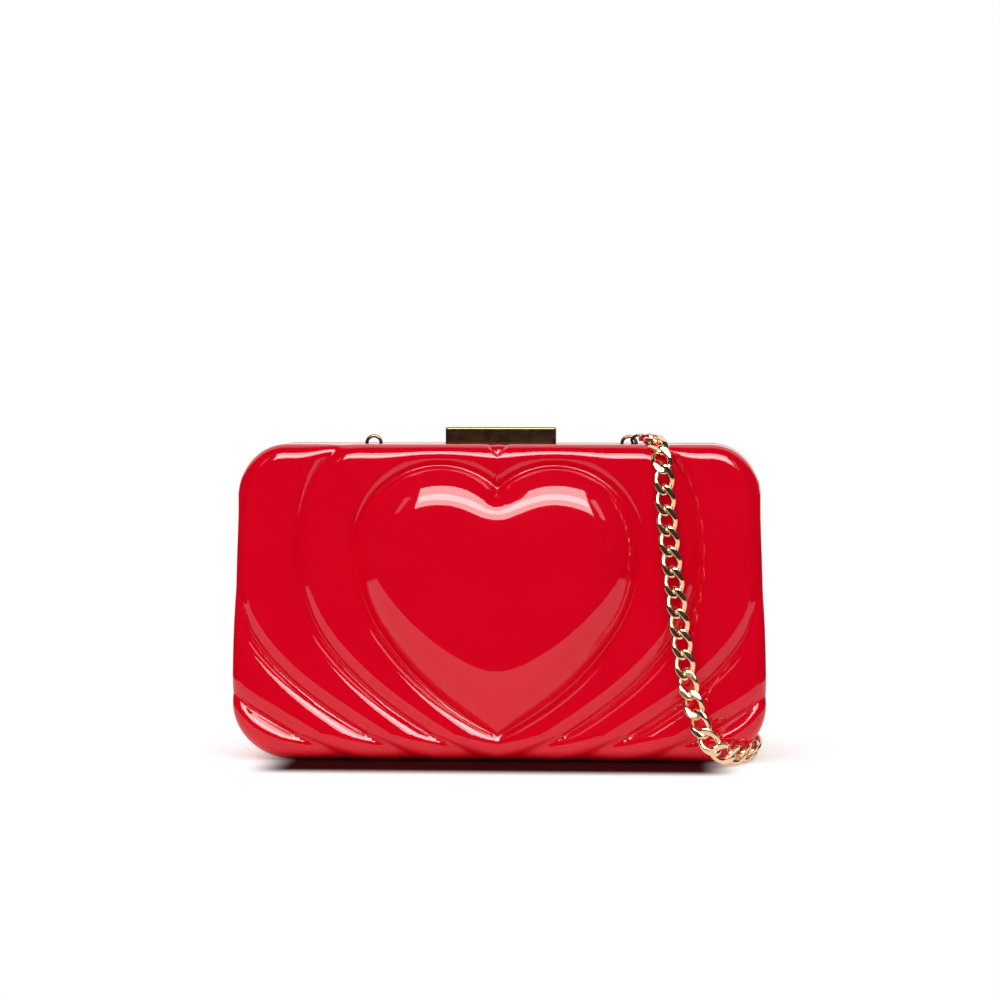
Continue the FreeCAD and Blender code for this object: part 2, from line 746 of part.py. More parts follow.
front_frame = cut(
    "front_frame", rail_body,
    [hinge_relief, catch_notch_cut] + front_leaf_holes + catch_holes + right_eye_holes
)
back_frame = cut("back_frame", rear_rail, [hinge_relief] + back_leaf_holes + clasp_holes + left_eye_holes)


# Lining trays inside the mouldings

lining_inset = lip_inset + ("lip_thickness", "lining_gap")
tray_body = doc.addObject("PartDesign::Body", "lining_outside")
tray_depth = f"{cavity_depth} - 2 * lining_gap"
tray_pad = pad_outline(tray_body, "tray_pad", "shell_edge + lining_gap", tray_depth, lining_inset)
tray_radius = "edge_radius - shell_wall"
round_front(tray_body, tray_pad, cavity_front - size("lining_gap"), tray_radius)
space_body = doc.addObject("PartDesign::Body", "lining_inside")
space_depth = f"{tray_depth} - lining_thickness"
space_inset = lining_inset + ("lining_thickness",)
space_pad = pad_outline(space_body, "space_pad", "shell_edge + lining_gap", space_depth, space_inset)
space_front = cavity_front - size("lining_gap") - size("lining_thickness")
round_front(space_body, space_pad, space_front, f"{tray_radius} - lining_thickness")
front_lining = cut("front_lining", tray_body, [space_body])
back_lining = mirrored("back_lining", front_lining)


# Strap: a curb chain with a ring at one end and a hook at the other. It hangs over the front on the right,
# lies on the surface, passes round the right corner and is folded behind, unhooked from the left eye.

# Route: x, y, z of the chain's middle, and how far it stands on its edge (0 is flat on the purse).
HANG_ROUTE = [
    (53.1, -1.6, 116.2, 0),
    (58.6, -25.4, 116.6, 0),
    (60.0, -25.5, 92.0, 0),
    (61.7, -25.5, 77.0, 0),
    (63.6, -25.5, 60.0, 0),
]
FLOOR_ROUTE = [
    (66.0, -25.9, 43.0, 0),
    (68.2, -27.2, 26.0, 0),
    (76.6, -36.8, 4.05, 1),
    (92.0, -16.8, 4.05, 0.65),
    (92.6, 4.0, 4.05, 0.65),
    (91.0, 30.0, 4.05, 1),
    (89.0, 56.0, 4.05, 1),
    (82.0, 68.5, 4.05, 1),
    (66.0, 73.6, 4.05, 1),
    (36.0, 74.3, 4.05, 1),
    (-4.0, 73.7, 4.05, 1),
    (-40.0, 74.2, 4.05, 1),
    (-62.0, 73.6, 4.05, 1),
    (-71.8, 70.0, 4.05, 1),
    (-75.4, 63.6, 4.05, 1),
    (-71.8, 57.2, 4.05, 1),
    (-62.0, 53.6, 4.05, 1),
    (-38.0, 53.2, 4.05, 1),
    (0.0, 53.9, 4.05, 1),
    (32.0, 53.3, 4.05, 1),
    (50.0, 53.5, 4.05, 1),
    (59.8, 49.9, 4.05, 1),
    (63.4, 43.5, 4.05, 1),
    (59.8, 37.1, 4.05, 1),
    (50.0, 33.5, 4.05, 1),
    (30.0, 33.2, 4.05, 1),
    (-2.0, 33.8, 4.05, 1),
    (-24.0, 33.4, 4.05, 1),
    (-47.2, 33.4, 4.05, 1),
]
# Links between these places are the ones that bend where the two halves turn on each other.
TURN_START = -12
TURN_END = 10


def rounded_route(points):
    """Straight runs joined by tangent arcs, each as large as its two runs allow."""
    edges = []
    start = points[0]
    for before, corner, after in zip(points, points[1:], points[2:]):
        back = before - corner
        ahead = after - corner
        half_turn = (math.pi - back.getAngle(ahead)) / 2
        reach = ARC_REACH_SHARE * min(back.Length, ahead.Length)
        radius = reach / math.tan(half_turn)
        back.normalize()
        ahead.normalize()
        inward = (back + ahead).normalize()
        first = corner + back * reach
        last = corner + ahead * reach
        middle = corner + inward * (radius / math.cos(half_turn) - radius)
        edges.append(Part.LineSegment(start, first).toShape())
        edges.append(Part.Arc(first, middle, last).toShape())
        start = last
    edges.append(Part.LineSegment(start, points[-1]).toShape())
    return Part.Wire(edges)


def link_point(angle):
    """A place on a link's middle line: an oval, twisted so that its neighbours lie flat in it."""
    twist = math.radians(LINK_TWIST_DEGREES) * math.cos(angle)
    across = size("link_half_width") * math.sin(angle)
    along = size("link_half_length") * math.cos(angle)
    return Vector(along, across * math.cos(twist), across * math.sin(twist))


def link_tangent(angle):
    """The direction of a link's middle line."""
    step = math.radians(LINK_TANGENT_STEP_SHARE)
    return (link_point(angle + step) - link_point(angle - step)).normalize()


def two_bends(begin, start_along, finish, end_along):
    """Two circular bends that join two places along their tangents."""
    span = finish - begin
    square = 2 * (1 - start_along.dot(end_along))
    cross = 2 * span.dot(start_along + end_along)
    reach = (math.sqrt(cross ** 2 + 4 * square * span.dot(span)) - cross) / (2 * square)
    first = begin + start_along * reach
    last = finish - end_along * reach
    joint = (first + last) * 0.5
    return [(begin, start_along, joint), (joint, (last - first).normalize(), finish)]


def wire_bend(begin, along, finish):
    """Round wire bent in one arc from a place and a direction to another place."""
    chord = finish - begin
    axis = along.cross(chord).normalize()
    inward = axis.cross(along)
    centre = begin + inward * (chord.dot(chord) / (2 * chord.dot(inward)))
    turn = math.degrees((begin - centre).getAngle(finish - centre))
    section = Part.Face(Part.Wire(Part.makeCircle(size("link_wire_radius"), begin, along)))
    return section.revolve(centre, axis, turn)


def curb_link():
    """One link: two halves alike, each a run of tangent wire bends, welded to one closed loop."""
    angles = [math.pi * i / LINK_SPANS for i in range(LINK_SPANS + 1)]
    bends = []
    for first, last in zip(angles, angles[1:]):
        ends = (link_point(first), link_tangent(first), link_point(last), link_tangent(last))
        bends += [wire_bend(*bend) for bend in two_bends(*ends)]
    turned = [bend.rotated(Vector(0, 0, 0), X_AXIS, 180) for bend in bends]
    welded = bends[0].multiFuse(bends[1:] + turned)
    return welded.Solids[0]


def link_facing(middle, along, points, stands):
    """How a link should face: away from the purse where it hangs, level where it stands on its edge."""
    distances = [middle.distanceToPoint(point) for point in points]
    first, second = sorted(range(len(points)), key=lambda i: distances[i])[:2]
    share = distances[first] / (distances[first] + distances[second])
    stand = stands[first] * (1 - share) + stands[second] * share
    away = Vector(0, middle.y, 0).normalize()
    if middle.z < 2 * size("link_half_width"):
        away = -Z_AXIS
    if middle.z > size("body_height") - size("edge_radius"):
        edge = math.copysign(size("face_depth") - size("edge_radius"), middle.y)
        over = Vector(0, middle.y - edge, middle.z - size("body_height") + size("edge_radius"))
        away = Z_AXIS if abs(middle.y) < abs(edge) else over.normalize()
    facing = away * (1 - stand) + along.cross(Z_AXIS) * stand
    return (facing - along * facing.dot(along)).normalize()


def linked(route):
    """Placements for links along a route, with the place of each link's middle."""
    points = [Vector(x, y, z) for x, y, z, stand in route]
    stands = [stand for x, y, z, stand in route]
    path = rounded_route(points)
    pitch = 2 * size("link_half_length") - 2 * size("link_wire_radius") - size("link_play")
    count = round(path.Length / pitch)
    joints = path.discretize(Number=count + 1)
    print(f"chain {path.Length:.0f} mm long, {count} links {path.Length / count:.3f} mm apart")
    placements = []
    limit = math.radians(LINK_TURN_DEGREES)
    before = None
    for begin, finish in zip(joints, joints[1:]):
        middle = (begin + finish) * 0.5
        along = (finish - begin).normalize()
        facing = link_facing(middle, along, points, stands)
        # No link turns about the chain's line by more than its play beside its neighbour.
        if before:
            carried = FreeCAD.Rotation(before[0], along).multVec(before[1])
            turn = math.atan2(along.dot(carried.cross(facing)), carried.dot(facing))
            turn = max(-limit, min(limit, turn))
            facing = FreeCAD.Rotation(along, math.degrees(turn)).multVec(carried)
        before = (along, facing)
        frame = FreeCAD.Rotation(along, facing.cross(along), facing, "XYZ")
        placements.append(FreeCAD.Placement(middle, frame))
    return placements


link = curb_link()
chain_places = linked(HANG_ROUTE + FLOOR_ROUTE)


def chain_run(name, wanted):
    """The links that are wanted, as separate solids of one node."""
    links = []
    for index, spot in enumerate(chain_places):
        if wanted(index):
            copy = link.copy()
            copy.Placement = spot
            links.append(copy)
    return shape_object(name, Part.makeCompound(links))


turning = [
    index
    for index, spot in enumerate(chain_places)
    if TURN_START < spot.Base.y < TURN_END and spot.Base.z < size("bottom_corner_radius")
    and spot.Base.x > size("hinge_length") / 2
]
chain_front = chain_run("chain_front", lambda index: index < turning[0])
chain_turn = chain_run("chain_turn", lambda index: index in turning)
chain_back = chain_run("chain_back", lambda index: index > turning[-1])


# Ring round the outer leg of the right eye, tilted up over the moulding's edge to the first link

jump_ring = doc.addObject("Part::Torus", "jump_ring")
bind(jump_ring, "Radius1", "ring_radius")
bind(jump_ring, "Radius2", "ring_wire_radius")
ring_axis = Vector(*RING_LEAN_SHARES).cross(Vector(*RING_TILT_SHARES))
jump_ring.Placement.Rotation = FreeCAD.Rotation(Z_AXIS, ring_axis)
ring_hold = "eye_offset + eye_bend_radius - eye_wire_radius - ring_wire_radius - ring_slack"
place(
    jump_ring,
    f"{ring_hold} + ring_radius * {RING_LEAN_SHARES[0]}",
    f"ring_radius * {RING_LEAN_SHARES[1]} - eye_seam_offset",
    f"{EYE_BEND_HEIGHT} + ring_lift + ring_radius * {RING_LEAN_SHARES[2]}",
)


# Hook at the strap's free end, drawn about the middle of its head with its tail along X

HOOK_THROUGH = "hook_thickness + 2 * cut_overrun"


def hook_disc(name, x, radius, thickness, y="0"):
    """A round of the hook, half above its middle plane and half below."""
    return cylinder(name, radius, thickness, (x, y, f"-({thickness}) / 2"))


def hook_strip(name, start, length, side, width, thickness):
    """A straight stretch of the hook, half above its middle plane and half below."""
    return box(name, (start, side, f"-({thickness}) / 2"), (length, width, thickness))


hook_solid = fuse("hook_solid", [
    hook_disc("hook_head", "0", "hook_head_radius", "hook_thickness"),
    hook_strip(
        "hook_neck", "0", "hook_neck_length", "-hook_neck_half_width", "2 * hook_neck_half_width",
        "hook_thickness",
    ),
    hook_disc("hook_neck_end", "hook_neck_length", "hook_neck_half_width", "hook_thickness"),
    hook_strip(
        "hook_tongue", "hook_neck_length", "hook_length - hook_neck_length", "-hook_tail_radius",
        "2 * hook_tail_radius", "hook_tongue_thickness",
    ),
    hook_disc("hook_tail", "hook_length", "hook_tail_radius", "hook_tongue_thickness"),
])
GATE_SLOT = "gate_thickness + 2 * gate_gap"
hook_body = cut("hook_body", hook_solid, [
    hook_disc("hook_opening", "0", "hook_opening_radius", HOOK_THROUGH),
    hook_strip(
        "hook_opening_stretch", "0", "hook_opening_run", "-hook_opening_half_width",
        "2 * hook_opening_half_width", HOOK_THROUGH,
    ),
    hook_strip(
        "hook_mouth", "-hook_nose", "hook_nose + hook_mouth_end", "0", "hook_head_radius + cut_overrun",
        HOOK_THROUGH,
    ),
    hook_disc("hook_eye_hole", "hook_length", "hook_eye_radius", HOOK_THROUGH),
    hook_disc("gate_slot", "gate_pivot", "gate_slot_radius", GATE_SLOT, "gate_side"),
    hook_disc("gate_pin_hole", "gate_pivot", "gate_pin_radius + running_gap", HOOK_THROUGH, "gate_side"),
])
gate_solid = fuse("gate_solid", [
    hook_disc("gate_hub", "gate_pivot", "gate_hub_radius", "gate_thickness", "gate_side"),
    hook_strip(
        "gate_bar", "gate_tip_gap - hook_nose", "gate_pivot + hook_nose - gate_tip_gap",
        "gate_side - gate_half_width", "2 * gate_half_width", "gate_thickness",
    ),
    hook_disc(
        "gate_trigger", "gate_pivot - trigger_back", "trigger_radius", "gate_thickness",
        "gate_side + trigger_rise",
    ),
])
gate_bore = hook_disc("gate_bore", "gate_pivot", "gate_pin_radius + running_gap", HOOK_THROUGH, "gate_side")
hook_gate = cut("hook_gate", gate_solid, [gate_bore])
hook_pin = fuse("hook_pin", [
    hook_disc("gate_pin_shaft", "gate_pivot", "gate_pin_radius", "hook_thickness", "gate_side"),
    cylinder(
        "gate_pin_upper_head", "gate_pin_head_radius", "gate_pin_head",
        ("gate_pivot", "gate_side", "hook_thickness / 2"),
    ),
    cylinder(
        "gate_pin_lower_head", "gate_pin_head_radius", "gate_pin_head",
        ("gate_pivot", "gate_side", "-hook_thickness / 2 - gate_pin_head"),
    ),
])

# The last link lifts the hook's tail, and its head rests on the surface.
chain_end = chain_places[-1].multVec(link_point(0))
hook_hold = size("hook_length") + size("hook_eye_radius") - size("link_wire_radius") - size("hook_eye_play")
hook_reach = Vector(hook_hold + size("hook_head_radius"), size("hook_thickness") / 2, 0)
hook_tilt = math.asin(chain_end.z / hook_reach.Length) - math.atan2(hook_reach.y, hook_reach.x)
hook_turn = FreeCAD.Rotation(Y_AXIS, -math.degrees(hook_tilt))
hook_place = FreeCAD.Placement(chain_end - hook_turn.multVec(X_AXIS * hook_hold), hook_turn)
for piece in (hook_body, hook_gate, hook_pin):
    piece.Placement = hook_place * piece.Placement
gate_axis = hook_place.multVec(Vector(size("gate_pivot"), size("gate_side"), 0))
print(f"gate axis at {gate_axis}, along {hook_turn.multVec(Z_AXIS)}")


# The finished pieces, checked and written

PIECES = [
    front_shell, back_shell, front_frame, back_frame, front_lining, back_lining,
    hinge_front_leaf, hinge_back_leaf, hinge_pin, front_hinge_rivets, back_hinge_rivets,
    clasp_base, clasp_bar, clasp_pin, clasp_spring, clasp_rivets, catch_plate, catch_rivets,
    ring_eye_right, ring_eye_left, jump_ring, chain_front, chain_turn, chain_back,
    hook_body, hook_gate, hook_pin,
]

doc.recompute()
for thing in doc.Objects:
    if "Invalid" in thing.State or "Error" in thing.State:
        raise RuntimeError(f"{thing.Name} failed: {thing.State}")
for piece in PIECES:
    if piece.Shape.isNull() or not piece.Shape.isValid():
        raise RuntimeError(f"{piece.Label} has no valid shape")

os.makedirs("parts", exist_ok=True)
for piece in PIECES:
    piece.Shape.exportStep(f"parts/{piece.Label}.step")
    print(f"{piece.Label}: {len(piece.Shape.Solids)} solids, {piece.Shape.Volume:.1f} mm3")
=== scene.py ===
# %% [markdown]
# # A hard-shell clutch purse
# Two glossy moulded halves open on a hinge along the bottom. A raised heart and heart-shaped waves are
# pressed into both halves, a sprung bar closes them, and a gold curb chain hangs from one side.
# The measured solids come first, as a fixed frame. What is made here goes over them, in the same place.

# %% Load the measured frame
import json
import math

import bpy
import numpy as np
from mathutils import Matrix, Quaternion, Vector, kdtree


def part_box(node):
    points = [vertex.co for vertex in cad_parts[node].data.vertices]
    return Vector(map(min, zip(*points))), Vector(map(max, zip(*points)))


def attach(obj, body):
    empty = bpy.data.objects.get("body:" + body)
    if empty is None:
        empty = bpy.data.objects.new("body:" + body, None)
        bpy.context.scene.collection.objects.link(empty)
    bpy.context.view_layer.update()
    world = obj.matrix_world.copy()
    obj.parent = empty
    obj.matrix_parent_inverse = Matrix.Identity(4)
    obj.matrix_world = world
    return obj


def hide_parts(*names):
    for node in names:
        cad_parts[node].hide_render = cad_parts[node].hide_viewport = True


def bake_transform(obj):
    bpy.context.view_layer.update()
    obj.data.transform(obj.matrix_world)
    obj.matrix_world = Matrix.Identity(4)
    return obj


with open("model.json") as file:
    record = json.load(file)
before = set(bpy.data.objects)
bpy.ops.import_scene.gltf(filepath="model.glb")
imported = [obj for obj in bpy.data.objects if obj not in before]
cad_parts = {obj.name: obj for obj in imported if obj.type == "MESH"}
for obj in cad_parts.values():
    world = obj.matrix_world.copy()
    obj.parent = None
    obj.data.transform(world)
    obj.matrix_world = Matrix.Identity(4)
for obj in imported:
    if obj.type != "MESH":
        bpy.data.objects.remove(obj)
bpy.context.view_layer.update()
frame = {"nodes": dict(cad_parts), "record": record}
nodes = frame["nodes"]
MM = 0.001
scene = bpy.context.scene
scene.view_settings.view_transform = "Standard"

# %% [markdown]
# ## Camera
# The photo was taken nearly straight from the front, a few degrees to the right and a little above the
# table, with a long lens. A long lens keeps the purse's sides nearly parallel. A short one, close by, would
# show more of the top and make the heart's dome bulge.

# %% Camera
CAMERA_AZIMUTH = math.radians(3.6)
CAMERA_ELEVATION = math.radians(2.3)
CAMERA_DISTANCE = 1.2
SENSOR_WIDTH = 36.0
LENS = 118.9
AIM = Vector((-0.0004, 0, 0.0933))

towards_camera = Vector((
    math.sin(CAMERA_AZIMUTH) * math.cos(CAMERA_ELEVATION),
    -math.cos(CAMERA_AZIMUTH) * math.cos(CAMERA_ELEVATION),
    math.sin(CAMERA_ELEVATION),
))
camera = bpy.data.objects.new("camera", bpy.data.cameras.new("camera"))
camera.data.sensor_width = SENSOR_WIDTH
camera.data.lens = LENS
camera.location = AIM + towards_camera * CAMERA_DISTANCE
camera.rotation_mode = "QUATERNION"
camera.rotation_quaternion = (-towards_camera).to_track_quat("-Z", "Y")
scene.collection.objects.link(camera)
scene.camera = camera
print("camera at", [round(value, 3) for value in camera.location])

# %% [markdown]
# ## The strap's line
# A chain hangs and lies like a limp cord, so one smooth curve carries it: from the right-hand strap eye
# over the edge, down the front, round the corner on the table and in folds behind the purse, where it ends
# in its hook. A NURBS spline takes the same control points as the solid chain. The fourth number says how
# far the links stand on edge there: 0 hangs flat against the purse, 1 stands upright on the table.

# %% Strap line
HANG_ROUTE = [
    (53.1, -1.6, 116.2, 0), (58.6, -25.4, 116.6, 0), (60.0, -25.5, 92.0, 0), (61.7, -25.5, 77.0, 0),
    (63.6, -25.5, 60.0, 0),
]
FLOOR_ROUTE = [
    (66.0, -25.9, 43.0, 0), (68.2, -27.2, 26.0, 0), (76.6, -36.8, 4.05, 1), (92.0, -16.8, 4.05, 0.65),
    (92.6, 4.0, 4.05, 0.65), (91.0, 30.0, 4.05, 1), (89.0, 56.0, 4.05, 1), (82.0, 68.5, 4.05, 1),
    (66.0, 73.6, 4.05, 1), (36.0, 74.3, 4.05, 1), (-4.0, 73.7, 4.05, 1), (-40.0, 74.2, 4.05, 1),
    (-62.0, 73.6, 4.05, 1), (-71.8, 70.0, 4.05, 1), (-75.4, 63.6, 4.05, 1), (-71.8, 57.2, 4.05, 1),
    (-62.0, 53.6, 4.05, 1), (-38.0, 53.2, 4.05, 1), (0.0, 53.9, 4.05, 1), (32.0, 53.3, 4.05, 1),
    (50.0, 53.5, 4.05, 1), (59.8, 49.9, 4.05, 1), (63.4, 43.5, 4.05, 1), (59.8, 37.1, 4.05, 1),
    (50.0, 33.5, 4.05, 1), (30.0, 33.2, 4.05, 1), (-2.0, 33.8, 4.05, 1), (-24.0, 33.4, 4.05, 1),
    (-47.2, 33.4, 4.05, 1),
]
STRAP_ROUTE = HANG_ROUTE + FLOOR_ROUTE

strap_curve = bpy.data.curves.new("strap_line", "CURVE")
strap_curve.dimensions = "3D"
strap_curve.resolution_u = 24
strap_spline = strap_curve.splines.new("NURBS")
strap_spline.points.add(len(STRAP_ROUTE) - 1)
for control, (x, y, z, stand) in zip(strap_spline.points, STRAP_ROUTE):
    control.co = (x * MM, y * MM, z * MM, 1)
strap_spline.order_u = 3
strap_spline.use_endpoint_u = True
strap_object = bpy.data.objects.new("strap_line", strap_curve)
scene.collection.objects.link(strap_object)
strap_mesh = bpy.data.meshes.new_from_object(strap_object)
strap_points = np.array([vertex.co for vertex in strap_mesh.vertices])
bpy.data.objects.remove(strap_object)
strap_steps = np.linalg.norm(np.diff(strap_points, axis=0), axis=1)
strap_reach = np.concatenate([[0], np.cumsum(strap_steps)])
print("strap:", len(strap_points), "points,", round(strap_reach[-1], 3), "m")

# %% [markdown]
# ## Where each link sits
# Links are spaced evenly along the line. Each one needs two directions: along the chain, and the way its
# flat side faces. A link can turn only a little against its neighbour, so the facing is carried from link
# to link and then turned towards the wanted way by a few degrees at most.

# %% Link places
LINK_PITCH = 7.36 * MM
LINK_TURN_LIMIT = math.radians(10)
SHELL_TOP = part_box("front_shell")[1].z
FACE_DEPTH = 23 * MM
EDGE_RADIUS = 8.5 * MM
UP = Vector((0, 0, 1))

link_count = round(strap_reach[-1] / LINK_PITCH)
joint_reach = np.linspace(0, strap_reach[-1], link_count + 1)
joints = np.stack([np.interp(joint_reach, strap_reach, strap_points[:, axis]) for axis in range(3)], axis=1)


def wanted_facing(middle, along):
    """Away from the purse where the link hangs, level where it stands on its edge."""
    places = sorted(((Vector(point[:3]) * MM - middle).length, point[3]) for point in STRAP_ROUTE)
    (near, near_stand), (far, far_stand) = places[:2]
    stand = (near_stand * far + far_stand * near) / (near + far)
    away = Vector((0, math.copysign(1, middle.y), 0))
    if middle.z < LINK_PITCH:
        away = -UP
    if middle.z > SHELL_TOP - EDGE_RADIUS:
        edge = math.copysign(FACE_DEPTH - EDGE_RADIUS, middle.y)
        over = Vector((0, middle.y - edge, middle.z - SHELL_TOP + EDGE_RADIUS))
        away = UP if abs(middle.y) < abs(edge) else over.normalized()
    facing = away * (1 - stand) + along.cross(UP) * stand
    return (facing - along * facing.dot(along)).normalized()


link_places = []
for begin, end in zip(joints, joints[1:]):
    middle = Vector((begin + end) / 2)
    along = Vector(end - begin).normalized()
    facing = wanted_facing(middle, along)
    if link_places:
        before = link_places[-1]
        carried = before[1].rotation_difference(along) @ before[2]
        turn = math.atan2(along.dot(carried.cross(facing)), carried.dot(facing))
        turn = max(-LINK_TURN_LIMIT, min(LINK_TURN_LIMIT, turn))
        facing = Quaternion(along, turn) @ carried
    link_places.append((middle, along, facing))
print("links:", link_count, "at", round(strap_reach[-1] / link_count * 1000, 2), "mm")

# %% [markdown]
# ## One link
# A curb link is a round-wire oval, twisted so that the chain lies flat, and then ground on both flats. It
# could be a torus with a twist modifier. A formula for the wire's middle line is shorter, and the grinding
# is one line: no point may stand higher than the flat.

# %% Link mesh
LINK_HALF_LENGTH = 4.75 * MM
LINK_HALF_WIDTH = 2.88 * MM
LINK_WIRE = 1.05 * MM
LINK_FLAT = 1.3 * MM
LINK_TWIST = math.radians(-45)
LINK_ROUND = 36
WIRE_ROUND = 12
TANGENT_STEP = 0.01


def new_piece(name, points, faces):
    """A smooth-shaded mesh object with its place in its mesh."""
    mesh = bpy.data.meshes.new(name)
    mesh.from_pydata([tuple(point) for point in points], [], faces)
    mesh.shade_smooth()
    made = bpy.data.objects.new(name, mesh)
    scene.collection.objects.link(made)
    return made


def link_middle(angle):
    """A place on the wire's middle line."""
    twist = LINK_TWIST * math.cos(angle)
    across = LINK_HALF_WIDTH * math.sin(angle)
    return Vector((LINK_HALF_LENGTH * math.cos(angle), across * math.cos(twist), across * math.sin(twist)))


link_points = []
for step in range(LINK_ROUND):
    angle = math.tau * step / LINK_ROUND
    place = link_middle(angle)
    along = (link_middle(angle + TANGENT_STEP) - link_middle(angle - TANGENT_STEP)).normalized()
    outward = (place - along * place.dot(along)).normalized()
    side = along.cross(outward)
    for turn in range(WIRE_ROUND):
        around = math.tau * turn / WIRE_ROUND
        point = place + (outward * math.cos(around) + side * math.sin(around)) * LINK_WIRE
        point.z = max(-LINK_FLAT, min(LINK_FLAT, point.z))
        link_points.append(point)
link_faces = []
for step in range(LINK_ROUND):
    here, there = step * WIRE_ROUND, (step + 1) % LINK_ROUND * WIRE_ROUND
    for turn in range(WIRE_ROUND):
        after = (turn + 1) % WIRE_ROUND
        link_faces.append((here + turn, here + after, there + after, there + turn))
link_pattern = new_piece("link_pattern", link_points, link_faces)
print("link:", len(link_faces), "faces")

# %% [markdown]
# ## Nodes by code
# Every node tree here, for geometry or for a finish, is written with one small function: it adds a node,
# sets what the node needs and joins its inputs to values or to other nodes' outputs.

# %% Node helper
def add(tree, kind, inputs=None, **settings):
    """A new node; inputs maps socket names or numbers to values or to other nodes' sockets."""
    made = tree.nodes.new(kind)
    for name, value in settings.items():
        setattr(made, name, value)
    for name, value in (inputs or {}).items():
        if isinstance(value, bpy.types.NodeSocket):
            tree.links.new(value, made.inputs[name])
        else:
            made.inputs[name].default_value = value
    return made


# %% [markdown]
# ## Finishes
# Colours are written as the hex values that a colour picker shows, and one function turns them to the
# linear numbers that a shader needs. Patterns use Object coordinates, which are metres here, so a pattern's
# scale is one over its real size.

# %% Colour and coordinates
def linear(hex_colour):
    """An sRGB hex colour as linear red, green, blue and alpha."""
    parts = [int(hex_colour[i:i + 2], 16) / 255 for i in (1, 3, 5)]
    return [part / 12.92 if part <= 0.04045 else ((part + 0.055) / 1.055) ** 2.4 for part in parts] + [1]


def new_finish(name):
    """An empty material and its tree, with Object coordinates and an output to join."""
    material = bpy.data.materials.new(name)
    material.use_nodes = True
    tree = material.node_tree
    tree.nodes.clear()
    place = add(tree, "ShaderNodeTexCoord").outputs["Object"]
    return material, tree, place


def finish_with(tree, shader):
    """Join a shader to the material's output."""
    add(tree, "ShaderNodeOutputMaterial", {"Surface": shader.outputs[0]})


print("hex grey #808080 is", round(linear("#808080")[0], 3), "in linear light")

# %% [markdown]
# ## Red lacquer
# The halves are moulded plastic under clear gloss lacquer. The eye sees a deep even red with mirror-sharp
# reflections that are faint head-on. Real lacquer is never quite flat: a faint orange peel, some
# millimetres wide, ripples the reflections, and the pigment clouds slightly.

# %% Red lacquer
red_lacquer, tree, place = new_finish("gloss_red_lacquer")
clouds = add(tree, "ShaderNodeTexNoise", {"Vector": place, "Scale": 1 / (28 * MM), "Detail": 2.0})
red = add(tree, "ShaderNodeMix", {
    "Factor": clouds.outputs["Fac"], "A": linear("#DC001E"), "B": linear("#E60422"),
}, data_type="RGBA")
peel = add(tree, "ShaderNodeTexNoise", {"Vector": place, "Scale": 1 / (4 * MM), "Detail": 1.0})
ripple = add(tree, "ShaderNodeBump", {"Height": peel.outputs["Fac"], "Strength": 0.012, "Distance": 1 * MM})
haze = add(tree, "ShaderNodeMapRange", {"Value": clouds.outputs["Fac"], "To Min": 0.03, "To Max": 0.06})
shader = add(tree, "ShaderNodeBsdfPrincipled", {
    "Base Color": red.outputs["Result"], "Roughness": haze.outputs["Result"], "IOR": 1.5,
    "Normal": ripple.outputs["Normal"],
})
finish_with(tree, shader)
print(red_lacquer.name, len(tree.nodes), "nodes")

# %% [markdown]
# ## Polished gold plate
# The strap, rails, clasp and eyes are plated brass. Polished metal shows mostly what is round it: cream
# where the softbox falls in it and dark brown where the room does. Fine rubbing marks blur it a little.

# %% Gold plate
def gold(name, pale, deep, rough_least, rough_most):
    """Polished plating whose colour and polish vary over a few millimetres."""
    material, tree, place = new_finish(name)
    wear = add(tree, "ShaderNodeTexNoise", {"Vector": place, "Scale": 1 / (3 * MM), "Detail": 3.0})
    colour = add(tree, "ShaderNodeMix", {
        "Factor": wear.outputs["Fac"], "A": linear(deep), "B": linear(pale),
    }, data_type="RGBA")
    polish = add(tree, "ShaderNodeMapRange", {
        "Value": wear.outputs["Fac"], "To Min": rough_least, "To Max": rough_most,
    })
    shader = add(tree, "ShaderNodeBsdfPrincipled", {
        "Base Color": colour.outputs["Result"], "Roughness": polish.outputs["Result"], "Metallic": 1.0,
    })
    finish_with(tree, shader)
    return material


chain_gold = gold("polished_pale_gold_plate", "#FFDDBA", "#F4CBA3", 0.13, 0.2)
frame_gold = gold("polished_bronze_gold_plate", "#94785A", "#775D40", 0.14, 0.26)
print("gold finishes:", chain_gold.name, frame_gold.name)

# %% [markdown]
# ## Steel
# Pins and the spring are plain drawn steel: grey, with streaks from the drawing die along the wire. They
# run along X here, as the pins do.

# %% Steel
drawn_steel, tree, place = new_finish("drawn_steel")
STREAK_LENGTH = 16.7 * MM
STREAK_WIDTH = 0.25 * MM
stretch = add(tree, "ShaderNodeMapping", {
    "Vector": place, "Scale": (1 / STREAK_LENGTH, 1 / STREAK_WIDTH, 1 / STREAK_WIDTH),
})
streaks = add(tree, "ShaderNodeTexNoise", {"Vector": stretch.outputs["Vector"], "Scale": 1.0, "Detail": 2.0})
grey = add(tree, "ShaderNodeMix", {
    "Factor": streaks.outputs["Fac"], "A": linear("#8E9094"), "B": linear("#C2C4C6"),
}, data_type="RGBA")
dull = add(tree, "ShaderNodeMapRange", {"Value": streaks.outputs["Fac"], "To Min": 0.22, "To Max": 0.4})
shader = add(tree, "ShaderNodeBsdfPrincipled", {
    "Base Color": grey.outputs["Result"], "Roughness": dull.outputs["Result"], "Metallic": 1.0,
})
finish_with(tree, shader)
print(drawn_steel.name, len(tree.nodes), "nodes")

# %% [markdown]
# ## Satin lining
# The trays are card covered with black satin. Satin has long floats of thread that run one way, so it
# shines across them. Threads of 0.25 mm are too fine to show, so they are drawn about 1.6 mm apart. A wave
# texture's sine runs twenty radians a unit, which sets its scale.

